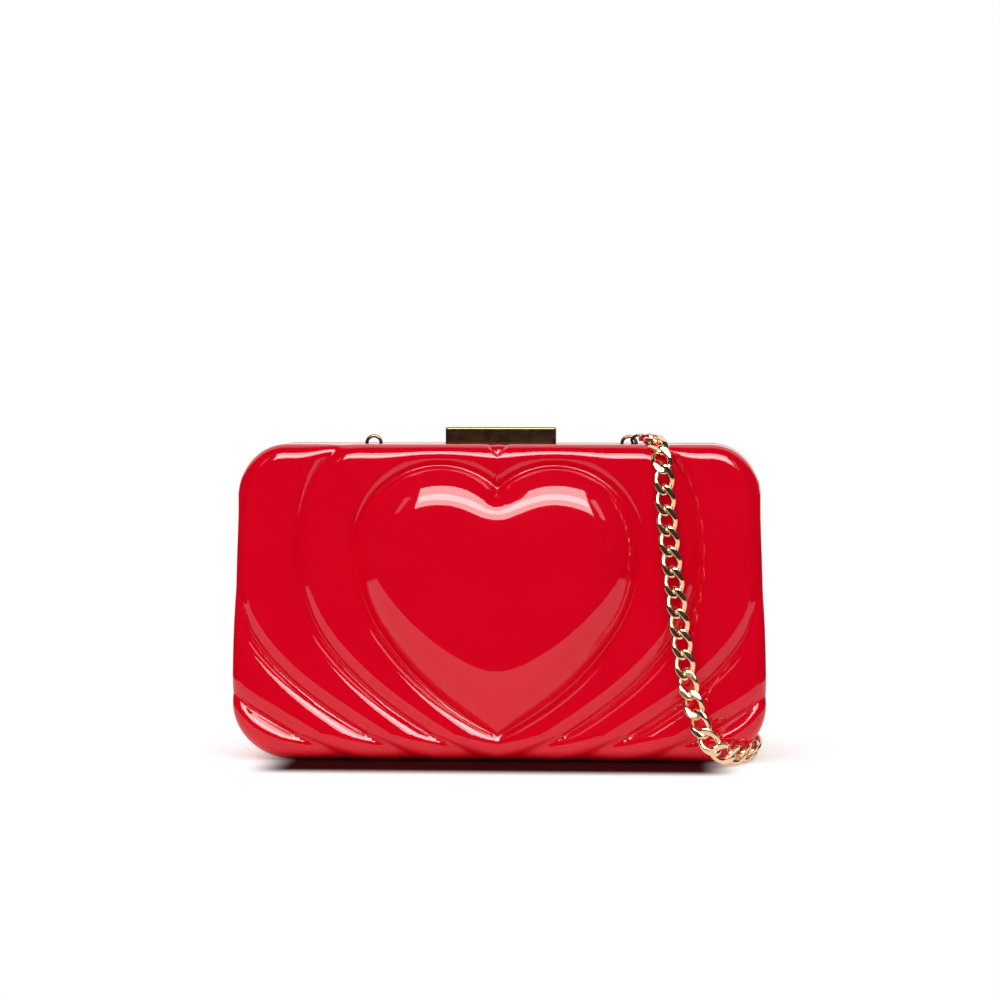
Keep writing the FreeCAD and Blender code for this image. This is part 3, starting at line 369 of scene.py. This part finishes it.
# %% Satin
THREAD_GAP = 1.58 * MM
WAVE_RADIANS = 20

satin, tree, place = new_finish("black_satin")
threads = add(tree, "ShaderNodeTexWave", {
    "Vector": place, "Scale": math.tau / (WAVE_RADIANS * THREAD_GAP), "Distortion": 0.6, "Detail": 1.0,
}, bands_direction="Z")
folds = add(tree, "ShaderNodeTexNoise", {"Vector": place, "Scale": 1 / (14 * MM), "Detail": 2.0})
black = add(tree, "ShaderNodeMix", {
    "Factor": folds.outputs["Fac"], "A": linear("#141115"), "B": linear("#2B262C"),
}, data_type="RGBA")
weave = add(tree, "ShaderNodeBump", {
    "Height": threads.outputs["Fac"], "Strength": 0.25, "Distance": 0.1 * MM,
})
shader = add(tree, "ShaderNodeBsdfPrincipled", {
    "Base Color": black.outputs["Result"], "Roughness": 0.42, "Sheen Weight": 0.35, "Sheen Roughness": 0.4,
    "Normal": weave.outputs["Normal"],
})
finish_with(tree, shader)
print(satin.name, len(tree.nodes), "nodes")

# %% [markdown]
# ## The chain's links
# Ninety equal links along a path suit Geometry Nodes: points carry the two directions of each link, and
# the tree turns a copy of the link to them. The first turn lays the link's length along the chain. The
# second rolls it about that length until its flat faces the right way.

# %% Link tree
links_tree = bpy.data.node_groups.new("links_on_points", "GeometryNodeTree")
links_tree.interface.new_socket("Places", in_out="INPUT", socket_type="NodeSocketGeometry")
pattern_socket = links_tree.interface.new_socket("Link", in_out="INPUT", socket_type="NodeSocketObject")
size_socket = links_tree.interface.new_socket("Link size", in_out="INPUT", socket_type="NodeSocketFloat")
links_tree.interface.new_socket("Links", in_out="OUTPUT", socket_type="NodeSocketGeometry")
given = add(links_tree, "NodeGroupInput")
pattern = add(links_tree, "GeometryNodeObjectInfo", {"Object": given.outputs["Link"]})
along_chain = add(links_tree, "GeometryNodeInputNamedAttribute", {"Name": "along"}, data_type="FLOAT_VECTOR")
flat_faces = add(links_tree, "GeometryNodeInputNamedAttribute", {"Name": "facing"}, data_type="FLOAT_VECTOR")
laid = add(links_tree, "FunctionNodeAlignRotationToVector", {
    "Vector": along_chain.outputs["Attribute"],
}, axis="X")
rolled = add(links_tree, "FunctionNodeAlignRotationToVector", {
    "Rotation": laid.outputs["Rotation"], "Vector": flat_faces.outputs["Attribute"],
}, axis="Z", pivot_axis="X")
copies = add(links_tree, "GeometryNodeInstanceOnPoints", {
    "Points": given.outputs["Places"], "Instance": pattern.outputs["Geometry"],
    "Rotation": rolled.outputs["Rotation"], "Scale": given.outputs["Link size"],
})
real = add(links_tree, "GeometryNodeRealizeInstances", {"Geometry": copies.outputs["Instances"]})
dressed = add(links_tree, "GeometryNodeSetMaterial", {
    "Geometry": real.outputs["Geometry"], "Material": chain_gold,
})
add(links_tree, "NodeGroupOutput", {"Links": dressed.outputs["Geometry"]})
print("link tree:", len(links_tree.nodes), "nodes")

# %% [markdown]
# ## The strap in three stretches
# When the purse opens, the links on the front move with the front half and those behind stay. The few
# under the right-hand corner would bend between the two; here they are only fixed in place. So the strap is
# three meshes, one for each.

# %% Strap meshes
TURN_START = -12 * MM
TURN_END = 10 * MM
CORNER_HEIGHT = 20 * MM
CORNER_SIDE = 50 * MM


def strap_stretch(name, places):
    """The links at some places, as one plain mesh."""
    spots = bpy.data.meshes.new(name + "_places")
    spots.from_pydata([place[0] for place in places], [], [])
    for label, index in (("along", 1), ("facing", 2)):
        values = np.array([place[index] for place in places]).ravel()
        spots.attributes.new(label, "FLOAT_VECTOR", "POINT").data.foreach_set("vector", values)
    holder = bpy.data.objects.new(name + "_places", spots)
    scene.collection.objects.link(holder)
    maker = holder.modifiers.new("links", "NODES")
    maker.node_group = links_tree
    maker[pattern_socket.identifier] = link_pattern
    maker[size_socket.identifier] = 1.0
    ready = holder.evaluated_get(bpy.context.evaluated_depsgraph_get())
    mesh = bpy.data.meshes.new_from_object(ready)
    mesh.name = name
    bpy.data.objects.remove(holder)
    made = bpy.data.objects.new(name, mesh)
    scene.collection.objects.link(made)
    mesh.shade_smooth()
    print(name, len(places), "links,", len(mesh.polygons), "faces")
    return made


turning = [
    index for index, (middle, along, facing) in enumerate(link_places)
    if TURN_START < middle.y < TURN_END and middle.z < CORNER_HEIGHT and middle.x > CORNER_SIDE
]
first_turn, last_turn = turning[0], turning[-1]
front_links = strap_stretch("strap_front_links", link_places[:first_turn])
turn_links = strap_stretch("strap_corner_links", link_places[first_turn:last_turn + 1])
back_links = strap_stretch("strap_back_links", link_places[last_turn + 1:])
bpy.data.objects.remove(link_pattern)


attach(front_links, "front_half")
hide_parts("chain_front")
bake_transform(turn_links)
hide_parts("chain_turn")
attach(back_links, "back_half")
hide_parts("chain_back")
print("strap stretches:", first_turn, last_turn - first_turn + 1, link_count - last_turn - 1, "links")

# %% [markdown]
# ## The heart's outline
# The heart is drawn with circles: one for each lobe, a larger one down each side and a wide one to the
# tip, each tangent to the next. Seen from the heart's middle, every direction meets the outline once, so
# the outline is a reach for each direction. Waves are the same heart, scaled up.

# %% Heart
HEART_MIDDLE = 60.0
LOBE_RADIUS = 30.5
LOBE_OFFSET = 20.8
WIDEST_RISE = 16.0
SIDE_RADIUS = 52.0
SIDE_TURN = math.radians(33)
TIP_DROP = 50.5

half_width = LOBE_OFFSET + LOBE_RADIUS
lobe_middle = np.array([LOBE_OFFSET, WIDEST_RISE])
side_middle = np.array([half_width - SIDE_RADIUS, WIDEST_RISE])
side_normal = np.array([math.cos(SIDE_TURN), -math.sin(SIDE_TURN)])
side_end = side_middle + side_normal * SIDE_RADIUS
tip_chord = np.array([0, -TIP_DROP]) - side_end
tip_radius = tip_chord @ tip_chord / (-2 * tip_chord @ side_normal)
tip_middle = side_end - side_normal * tip_radius
heart_arcs = [
    (math.atan2(WIDEST_RISE, half_width), lobe_middle, LOBE_RADIUS),
    (math.atan2(side_end[1], side_end[0]), side_middle, SIDE_RADIUS),
    (-math.pi, tip_middle, tip_radius),
]


def heart_reach(x, up):
    """How far the outline is from the heart's middle, in the direction of a place."""
    angle = np.arctan2(up, np.abs(x))
    toward = np.stack([np.cos(angle), np.sin(angle)], axis=-1)
    reaches = []
    for lowest, middle, radius in heart_arcs:
        near = toward @ middle
        reaches.append(near + np.sqrt(np.maximum(radius ** 2 - middle @ middle + near ** 2, 0)))
    return np.select([angle >= lowest for lowest, middle, radius in heart_arcs], reaches)


print("heart:", round(2 * half_width, 1), "mm wide, tip arc", round(tip_radius, 1), "mm")

# %% [markdown]
# ## The dome's depth
# The heart inside the first groove is a dome: steep at its edge, nearly flat in the middle. Its height
# follows the distance to the outline. Straight distances would leave sharp creases down the middle, so they
# are put on a grid and blurred, more so further in. Sculpting or an inset with a bevel could give a dome
# too, but here its slope at the edge can be set.

# %% Distance into the heart
BLUR_RADIUS = 6.0
BLUR_FULL_DEPTH = 9.0
FIELD_STEP = 0.5
FIELD_HALF = 80
OUTLINE_STEPS = 1600


def smooth_share(value):
    """0 to 1 with no corner at either end."""
    value = np.clip(value, 0, 1)
    return value * value * (3 - 2 * value)


outline_angles = np.linspace(-math.pi / 2, math.pi / 2, OUTLINE_STEPS)
outline_reach = heart_reach(np.cos(outline_angles), np.sin(outline_angles))
outline_tree = kdtree.KDTree(len(outline_angles))
for index, (angle, reach) in enumerate(zip(outline_angles, outline_reach)):
    outline_tree.insert((reach * math.cos(angle), reach * math.sin(angle), 0), index)
outline_tree.balance()
field_x = np.arange(0, FIELD_HALF, FIELD_STEP)
field_up = np.arange(-FIELD_HALF, FIELD_HALF, FIELD_STEP)
distance = np.array([[outline_tree.find((x, up, 0))[2] for x in field_x] for up in field_up])
mesh_x, mesh_up = np.meshgrid(field_x, field_up)
inside = np.hypot(mesh_x, mesh_up) < heart_reach(mesh_x, mesh_up)
distance = np.where(inside, distance, -distance)


def blurred(field):
    """The field smoothed by a bell curve, with its mirror image on the other side of the middle line."""
    reach = np.arange(-3 * BLUR_RADIUS, 3 * BLUR_RADIUS + FIELD_STEP, FIELD_STEP)
    bell = np.exp(-0.5 * (reach / BLUR_RADIUS) ** 2)
    bell /= bell.sum()
    both = np.concatenate([field[:, :0:-1], field], axis=1)
    rows = np.array([np.convolve(row, bell, "same") for row in both])
    both = np.array([np.convolve(column, bell, "same") for column in rows.T]).T
    return both[:, len(field_x) - 1:]


blur_share = smooth_share(distance / BLUR_FULL_DEPTH)
depth_field = distance * (1 - blur_share) + blurred(distance) * blur_share


def dome_depth(x, up):
    """The smoothed distance into the heart, read between the field's four nearest places."""
    column, row = np.abs(x) / FIELD_STEP, (up - field_up[0]) / FIELD_STEP
    left, low = column.astype(int), row.astype(int)
    right_share, high_share = column - left, row - low
    lower = depth_field[low, left] * (1 - right_share) + depth_field[low, left + 1] * right_share
    upper = depth_field[low + 1, left] * (1 - right_share) + depth_field[low + 1, left + 1] * right_share
    return np.maximum(lower * (1 - high_share) + upper * high_share, 0)


print("deepest place in the heart:", round(depth_field.max(), 1), "mm")

# %% [markdown]
# ## Relief
# Each wave rises from its inner groove by a wall that eases to a broad flat, and rolls down to the next
# groove. Towards the bottom the outer waves flare out wider than scaled hearts, and near the top they are
# drawn in a little. A displacement texture could carry such waves, but a formula keeps their edges sharp.

# %% Relief height
WAVES = (1.0, 1.435, 1.93, 2.47)
GROOVE_DEPTH = 3.0
WALL_SIDE = 9.5
ROLLED_SIDE = 6.0
FLARE = 0.015
FLARE_FROM = 8.0
PINCH = 0.1
PINCH_FULL = 35.0
CLEFT_DIP = 0.16
CLEFT_WIDTH = 9.0
CLEFT_ROLL = 20.0
CLEFT_ROLL_LEAST = 0.2
DOME_EDGE_SLOPE = 1.1
DOME_SHOULDER = 7.5
DOME_FALL = 2.5
DOME_REACH = 60
DOME_STEPS = 1200
SLOPE_STEP = 0.05
LEAST_SLOPE = 1e-4

depth_steps = np.linspace(0, DOME_REACH, DOME_STEPS + 1)
dome_slopes = DOME_EDGE_SLOPE / (1 + (depth_steps / DOME_SHOULDER) ** DOME_FALL)
dome_heights = np.cumsum(dome_slopes) * (depth_steps[1] - depth_steps[0])


def gauge(x, up):
    """1 on the heart's outline, and the scale of the reshaped heart that goes through any other place."""
    scale = np.hypot(x, up) / heart_reach(x, up)
    lowered = up - FLARE * np.tanh(np.maximum(scale - 1, 0)) * np.maximum(-up - FLARE_FROM, 0) ** 2
    scale = np.hypot(x, lowered) / heart_reach(x, lowered)
    pinch = 1 + PINCH * smooth_share(up / PINCH_FULL)
    return np.where(scale > 1, 1 + (scale - 1) * pinch, scale)


def relief(x, z):
    """Height over the plain face, in millimetres, at places in millimetres."""
    up = z - HEART_MIDDLE
    scale = gauge(x, up)
    across = (gauge(x + SLOPE_STEP, up) - gauge(x - SLOPE_STEP, up)) / (2 * SLOPE_STEP)
    along = (gauge(x, up + SLOPE_STEP) - gauge(x, up - SLOPE_STEP)) / (2 * SLOPE_STEP)
    steepness = np.maximum(np.hypot(across, along), LEAST_SLOPE)
    # The second groove only touches the top edge at its cleft, a little lower and with a narrow roll.
    dip = CLEFT_DIP * np.exp(-(x / CLEFT_WIDTH) ** 2) * (up > 0)
    rolled = ROLLED_SIDE * np.where(up > 0, np.clip(np.abs(x) / CLEFT_ROLL, CLEFT_ROLL_LEAST, 1), 1)
    height = np.zeros_like(x)
    for wave in WAVES:
        away = (scale - wave + dip * (wave - 1)) / steepness
        wall = -GROOVE_DEPTH * np.clip(1 - away / WALL_SIDE, 0, 1) ** 3
        roll = -GROOVE_DEPTH * np.clip(1 + away / rolled, 0, 1) ** 2
        height = np.minimum(height, np.where(away > 0, wall, roll))
    inside = scale < 1
    depth = dome_depth(x[inside], up[inside])
    height[inside] = -GROOVE_DEPTH + np.interp(depth, depth_steps, dome_heights)
    return height


dome_top = np.interp(depth_field.max(), depth_steps, dome_heights)
print("dome:", round(dome_top - GROOVE_DEPTH, 2), "mm over the face")

# %% [markdown]
# ## The moulded half
# The plain form is a rounded rectangle with a rounded front edge. A grid covers its face: rows follow the
# corner arcs, so the grid's rim is the face's rim. Rings of points then go over the edge, down the side and
# back along the inside, and the relief moves every outer point along the plain form's own normal, so that
# the waves run out over the edge as they do on the purse. They fade before the rail.

# %% Shell grid
BODY_WIDTH = 190.0
BODY_HEIGHT = 114.0
TOP_CORNER = 18.5
BOTTOM_CORNER = 21.5
SHELL_DEPTH = FACE_DEPTH / MM
ROUND_EDGE = 6.2
BOTTOM_EDGE = 10.0
SHELL_WALL = 2.2
SEAM_EDGE = 3.2
INNER_DEPTH = 18.4
INNER_ROUND = 6.3
COLUMNS = 310
CORNER_ROWS = 30
MIDDLE_ROWS = 135
EDGE_RINGS = 14
SIDE_RINGS = 8
INNER_RINGS = 6
SIDE_SHARE = 0.12
FADE_HASTE = 1.15
SPREAD = 0.0115
SPREAD_TOP = 100.0
SPREAD_BOTTOM = 20.0

rim_half = BODY_WIDTH / 2 - ROUND_EDGE
top_radius = TOP_CORNER - ROUND_EDGE
corner_turns = np.linspace(0, math.pi / 2, CORNER_ROWS + 1)
bottom_radius = BOTTOM_CORNER - ROUND_EDGE - (BOTTOM_EDGE - ROUND_EDGE) * np.cos(corner_turns) ** 2
low_z = BOTTOM_CORNER - bottom_radius * np.cos(corner_turns)
low_half = BODY_WIDTH / 2 - BOTTOM_CORNER + bottom_radius * np.sin(corner_turns)
high_z = BODY_HEIGHT - ROUND_EDGE - top_radius * (1 - np.sin(corner_turns))
high_half = rim_half - top_radius * (1 - np.cos(corner_turns))
middle_z = np.linspace(low_z[-1], high_z[0], MIDDLE_ROWS + 1)[1:-1]
row_z = np.concatenate([low_z, middle_z, high_z])
row_half = np.concatenate([low_half, np.full(len(middle_z), rim_half), high_half])
row_lean = np.concatenate([corner_turns - math.pi / 2, np.zeros(len(middle_z)), corner_turns])
rows, columns = len(row_z), COLUMNS + 1
grid_x = row_half[:, None] * np.linspace(-1, 1, columns)[None, :]
grid_z = np.repeat(row_z[:, None], columns, axis=1)
cell = np.arange(rows * columns).reshape(rows, columns)
rim = np.concatenate([cell[0, :-1], cell[:-1, -1], cell[-1, :0:-1], cell[:0:-1, 0]])
lean = np.concatenate([
    np.full(columns - 1, -math.pi / 2), row_lean[:-1], np.full(columns - 1, math.pi / 2),
    math.pi - row_lean[:0:-1],
])
rim_out = np.stack([np.cos(lean), np.sin(lean)], axis=1)
rim_round = ROUND_EDGE + (BOTTOM_EDGE - ROUND_EDGE) * np.minimum(rim_out[:, 1], 0) ** 2
print("shell grid:", rows, "rows,", columns, "columns,", len(rim), "round the rim")

# %% [markdown]
# The outer rings turn through a quarter circle and then run straight to the seam. Each has a share of the
# relief that it keeps.

# %% Shell rings
rim_x, rim_z = grid_x.ravel()[rim], grid_z.ravel()[rim]
outer = [np.stack([grid_x.ravel(), np.full(rows * columns, -SHELL_DEPTH), grid_z.ravel()], axis=1)]
normals = [np.tile([0.0, -1.0, 0.0], (rows * columns, 1))]
kept = [np.ones(rows * columns)]
for ring in range(1, EDGE_RINGS + SIDE_RINGS + 1):
    turn = math.pi / 2 * min(ring / EDGE_RINGS, 1)
    run = max(ring - EDGE_RINGS, 0) / SIDE_RINGS
    outward = rim_round * math.sin(turn)
    depth = SHELL_DEPTH - rim_round * (1 - math.cos(turn))
    depth -= (SHELL_DEPTH - rim_round - SEAM_EDGE) * run
    outer.append(np.stack([
        rim_x + rim_out[:, 0] * outward, -depth, rim_z + rim_out[:, 1] * outward,
    ], axis=1))
    normals.append(np.stack([
        rim_out[:, 0] * math.sin(turn), np.full(len(rim), -math.cos(turn)), rim_out[:, 1] * math.sin(turn),
    ], axis=1))
    share = 1 - (1 - SIDE_SHARE) * smooth_share(turn / (math.pi / 2))
    kept.append(np.full(len(rim), share * (1 - smooth_share(run * FADE_HASTE))))
outer, normals, kept = np.concatenate(outer), np.concatenate(normals), np.concatenate(kept)
height = relief(outer[:, 0].copy(), outer[:, 2].copy())
outer = outer + normals * (height * kept)[:, None]
print("relief from", round(height.min(), 2), "to", round(height.max(), 2), "mm")

# %% [markdown]
# Inside, the wall is plain: it follows the outline a wall's thickness in, rounds over and ends in one flat
# face behind the lining. Last, the half is made two millimetres wider below than above on either side, as
# the photo shows it.

# %% Shell meshes
inner_path = [(SHELL_WALL, SEAM_EDGE)]
for turn in np.linspace(0, math.pi / 2, INNER_RINGS):
    inner_path.append((
        SHELL_WALL + INNER_ROUND * (1 - math.cos(turn)), INNER_DEPTH - INNER_ROUND * (1 - math.sin(turn)),
    ))
inner = [
    np.stack([
        rim_x + rim_out[:, 0] * (rim_round - inset), np.full(len(rim), -depth),
        rim_z + rim_out[:, 1] * (rim_round - inset),
    ], axis=1)
    for inset, depth in inner_path
]
shell_points = np.concatenate([outer, *inner]) * MM
low_share = smooth_share((SPREAD_TOP - shell_points[:, 2] / MM) / (SPREAD_TOP - SPREAD_BOTTOM))
shell_points[:, 0] *= 1 + SPREAD * (2 * low_share - 1)
ring_count = EDGE_RINGS + SIDE_RINGS + len(inner)
loops = [rim] + [rows * columns + len(rim) * ring + np.arange(len(rim)) for ring in range(ring_count)]
shell_faces = [
    (cell[row, column], cell[row, column + 1], cell[row + 1, column + 1], cell[row + 1, column])
    for row in range(rows - 1) for column in range(columns - 1)
]
for near, far in zip(loops, loops[1:]):
    near_after, far_after = np.roll(near, -1), np.roll(far, -1)
    shell_faces += list(zip(near, far, far_after, near_after))
shell_faces.append(tuple(loops[-1]))


def moulded_half(name, body, node, points, faces):
    """One half, dressed and joined to the frame."""
    made = new_piece(name, points, [tuple(int(corner) for corner in face) for face in faces])
    made.data.materials.append(red_lacquer)
    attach(made, body)
    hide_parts(node)
    print(name, len(made.data.polygons), "faces")


moulded_half("front_moulded_half", "front_half", "front_shell", shell_points, shell_faces)
turned_points = shell_points * np.array([1, -1, 1])
turned_faces = [face[::-1] for face in shell_faces]
moulded_half("back_moulded_half", "back_half", "back_shell", turned_points, turned_faces)

# %% [markdown]
# ## Dressing the measured pieces
# Rails, hinge, clasp, eyes, rings and trays keep their solids, whose shapes are right. Each takes the
# finish that its record names.

# %% Finishes on the solids
finishes = {
    "gold_plate": frame_gold, "chain_gold": chain_gold, "steel": drawn_steel, "lining": satin,
    "red_lacquer": red_lacquer,
}
for subpart in frame["record"]["subparts"]:
    slots = nodes[subpart["node"]].data.materials
    slots.clear()
    slots.append(finishes[subpart["material_slot"]])

# %% [markdown]
# ## Floor
# The purse stands on a white sheet. Close to the purse the sheet is lit and keeps the soft shadow. Further
# off it turns plain white for the camera, so that no edge or horizon shows. The gloss shows the sheet only
# as far as it reached in front of the purse. Past that the room was dark, which is why the flat face of the
# purse shows no veil.

# %% Floor
SHEET_FRONT = -0.15
SHEET_SIDE = 0.3
FLOOR_HALF = 6.0
SHADOW_FROM = 0.095
SHADOW_TO = 0.14

floor = new_piece("floor", [
    (-FLOOR_HALF, -FLOOR_HALF, 0), (FLOOR_HALF, -FLOOR_HALF, 0), (FLOOR_HALF, FLOOR_HALF, 0),
    (-FLOOR_HALF, FLOOR_HALF, 0),
], [(0, 1, 2, 3)])
white_sheet, tree, place = new_finish("white_sheet")
rays = add(tree, "ShaderNodeLightPath")
split = add(tree, "ShaderNodeSeparateXYZ", {"Vector": place})
front = add(tree, "ShaderNodeMath", {0: split.outputs["Y"], 1: SHEET_FRONT}, operation="LESS_THAN")
aside = add(tree, "ShaderNodeMath", {0: split.outputs["X"]}, operation="ABSOLUTE")
beside = add(tree, "ShaderNodeMath", {0: aside.outputs[0], 1: SHEET_SIDE}, operation="GREATER_THAN")
off = add(tree, "ShaderNodeMath", {0: front.outputs[0], 1: beside.outputs[0]}, operation="MAXIMUM")
dark = add(tree, "ShaderNodeMath", {
    0: off.outputs[0], 1: rays.outputs["Is Glossy Ray"],
}, operation="MULTIPLY")
away = add(tree, "ShaderNodeVectorMath", {0: place}, operation="LENGTH")
plain = add(tree, "ShaderNodeMapRange", {
    "Value": away.outputs["Value"], "From Min": SHADOW_FROM, "From Max": SHADOW_TO,
}, interpolation_type="SMOOTHSTEP")
seen = add(tree, "ShaderNodeMath", {
    0: plain.outputs["Result"], 1: rays.outputs["Is Camera Ray"],
}, operation="MULTIPLY")
print("floor:", len(tree.nodes), "nodes tell the sheet from the room")

# %% [markdown]
# Under the purse and just in front, where hardly any light gets in, a shadow is painted into the sheet: its
# colour turns nearly black there. In the gloss that painted shadow is smaller, and so it is behind the
# purse. Where the sheet is open, a faint glow lifts it, so that it reads as white without more light on the
# purse.

# %% Painted shadow under the purse
PAINTED_SHADOW_HALF = (0.072, 0.09)
PAINTED_SHADOW_FRONT = (0.042, 0.062)
PAINTED_SHADOW_BEHIND = 2.6
GLOSS_PAINTED_SHADOW = 2.5

lift = add(tree, "ShaderNodeMapRange", {
    "Value": rays.outputs["Is Camera Ray"], "To Min": 0.25, "To Max": 0.45,
})
forward = add(tree, "ShaderNodeMath", {0: split.outputs["Y"], 1: -1.0}, operation="MULTIPLY")
backward = add(tree, "ShaderNodeMath", {0: split.outputs["Y"], 1: PAINTED_SHADOW_BEHIND}, operation="MULTIPLY")
fore = add(tree, "ShaderNodeMath", {0: forward.outputs[0], 1: backward.outputs[0]}, operation="MAXIMUM")
widened = add(tree, "ShaderNodeMapRange", {
    "Value": rays.outputs["Is Camera Ray"], "To Min": GLOSS_PAINTED_SHADOW, "To Max": 1.0,
})
reach = add(tree, "ShaderNodeMath", {0: fore.outputs[0], 1: widened.outputs["Result"]}, operation="MULTIPLY")
# Mask of the painted shadow: across the purse's width and a little way in front of it and behind it.
painted_shadow_across = add(tree, "ShaderNodeMapRange", {
    "Value": aside.outputs[0], "From Min": PAINTED_SHADOW_HALF[0], "From Max": PAINTED_SHADOW_HALF[1],
    "To Min": 1.0, "To Max": 0.0,
}, interpolation_type="SMOOTHSTEP")
painted_shadow_fore = add(tree, "ShaderNodeMapRange", {
    "Value": reach.outputs[0], "From Min": PAINTED_SHADOW_FRONT[0], "From Max": PAINTED_SHADOW_FRONT[1],
    "To Min": 1.0, "To Max": 0.0,
}, interpolation_type="SMOOTHSTEP")
painted_shadow = add(tree, "ShaderNodeMath", {
    0: painted_shadow_across.outputs["Result"], 1: painted_shadow_fore.outputs["Result"],
}, operation="MULTIPLY")
open_share = add(tree, "ShaderNodeMath", {0: 1.0, 1: painted_shadow.outputs[0]}, operation="SUBTRACT")
# Painted shadow: inside that mask the sheet's colour goes from white to nearly black.
painted_shadow_colour = add(tree, "ShaderNodeMix", {
    "Factor": painted_shadow.outputs[0], "A": linear("#F4F4F4"), "B": linear("#3A1012"),
}, data_type="RGBA")
open_glow = add(tree, "ShaderNodeMath", {
    0: lift.outputs["Result"], 1: open_share.outputs[0],
}, operation="MULTIPLY")
sheet = add(tree, "ShaderNodeBsdfDiffuse", {"Color": painted_shadow_colour.outputs["Result"]})
glow = add(tree, "ShaderNodeEmission", {"Color": (1, 1, 1, 1), "Strength": open_glow.outputs[0]})
lit = add(tree, "ShaderNodeAddShader", {0: sheet.outputs[0], 1: glow.outputs[0]})
white = add(tree, "ShaderNodeEmission", {"Color": (1, 1, 1, 1), "Strength": 1.0})
faded = add(tree, "ShaderNodeMixShader", {0: seen.outputs[0], 1: lit.outputs[0], 2: white.outputs[0]})
room = add(tree, "ShaderNodeEmission", {"Color": linear("#141414"), "Strength": 1.0})
shown = add(tree, "ShaderNodeMixShader", {0: dark.outputs[0], 1: faded.outputs[0], 2: room.outputs[0]})
finish_with(tree, shown)
floor.data.materials.append(white_sheet)
print(white_sheet.name, len(tree.nodes), "nodes")

# %% [markdown]
# ## World
# The world is white to the camera. Reflections see white behind the purse and a dark room in front of it,
# so the rails and the rounded edges catch a pale rim while the flat faces stay deep red.

# %% World
world = bpy.data.worlds.new("studio")
scene.world = world
world.use_nodes = True
tree = world.node_tree
tree.nodes.clear()
rays = add(tree, "ShaderNodeLightPath")
direction = add(tree, "ShaderNodeTexCoord").outputs["Generated"]
split = add(tree, "ShaderNodeSeparateXYZ", {"Vector": direction})
high = add(tree, "ShaderNodeMath", {
    0: split.outputs["Z"], 1: 0.35, 2: split.outputs["Y"],
}, operation="MULTIPLY_ADD")
behind = add(tree, "ShaderNodeMapRange", {
    "Value": high.outputs[0], "From Min": 0.55, "From Max": 0.68, "To Min": 0.012, "To Max": 1.0,
})
glossy = add(tree, "ShaderNodeMix", {
    "Factor": rays.outputs["Is Glossy Ray"], "A": 0.42, "B": behind.outputs["Result"],
}, data_type="FLOAT")
strength = add(tree, "ShaderNodeMix", {
    "Factor": rays.outputs["Is Camera Ray"], "A": glossy.outputs["Result"], "B": 1.0,
}, data_type="FLOAT")
sky = add(tree, "ShaderNodeBackground", {"Color": (1, 1, 1, 1), "Strength": strength.outputs["Result"]})
add(tree, "ShaderNodeOutputWorld", {"Surface": sky.outputs[0]})
print("world:", len(tree.nodes), "nodes")

# %% [markdown]
# ## Lamps
# One wide softbox with a brighter core stands high in front: it makes the pale stripes on the dome and on
# the waves. Two narrow strips at the sides carry those stripes round the waves. All of them show only in
# the gloss. A large dim lamp that the gloss doesn't show gives the even light, so that the red renders about
# as it is written.

# %% Lamps
PURSE_MIDDLE = Vector((0, 0, 0.07))


def softbox(name, azimuth, elevation, distance, width, height, radiance):
    """A flat lamp that faces the purse; its power follows from its brightness and area."""
    lamp = bpy.data.lights.new(name, "AREA")
    lamp.shape = "RECTANGLE"
    lamp.size = width
    lamp.size_y = height
    lamp.energy = radiance * math.pi * width * height
    made = bpy.data.objects.new(name, lamp)
    turn, lift = math.radians(azimuth), math.radians(elevation)
    away = Vector((
        math.sin(turn) * math.cos(lift), -math.cos(turn) * math.cos(lift), math.sin(lift),
    ))
    made.location = PURSE_MIDDLE + away * distance
    made.rotation_mode = "QUATERNION"
    made.rotation_quaternion = away.to_track_quat("Z", "Y")
    scene.collection.objects.link(made)
    return made


gloss_lights = [
    softbox("stripe_softbox", azimuth=3, elevation=40, distance=1.2, width=1.0, height=0.76, radiance=9.0),
    softbox("stripe_core", azimuth=3, elevation=36, distance=1.19, width=0.95, height=0.24, radiance=7.0),
    softbox("left_strip", azimuth=-40, elevation=32, distance=1.2, width=0.14, height=0.34, radiance=1.2),
    softbox("right_strip", azimuth=41, elevation=31, distance=1.2, width=0.14, height=0.4, radiance=2.4),
]
for lamp in gloss_lights:
    lamp.visible_diffuse = False
    lamp.visible_camera = False
key_light = softbox(
    "key_softbox", azimuth=-8, elevation=55, distance=1.6, width=1.8, height=1.8, radiance=1.4,
)
key_light.visible_glossy = False
key_light.visible_camera = False
print("lamps:", [lamp.name for lamp in gloss_lights + [key_light]])
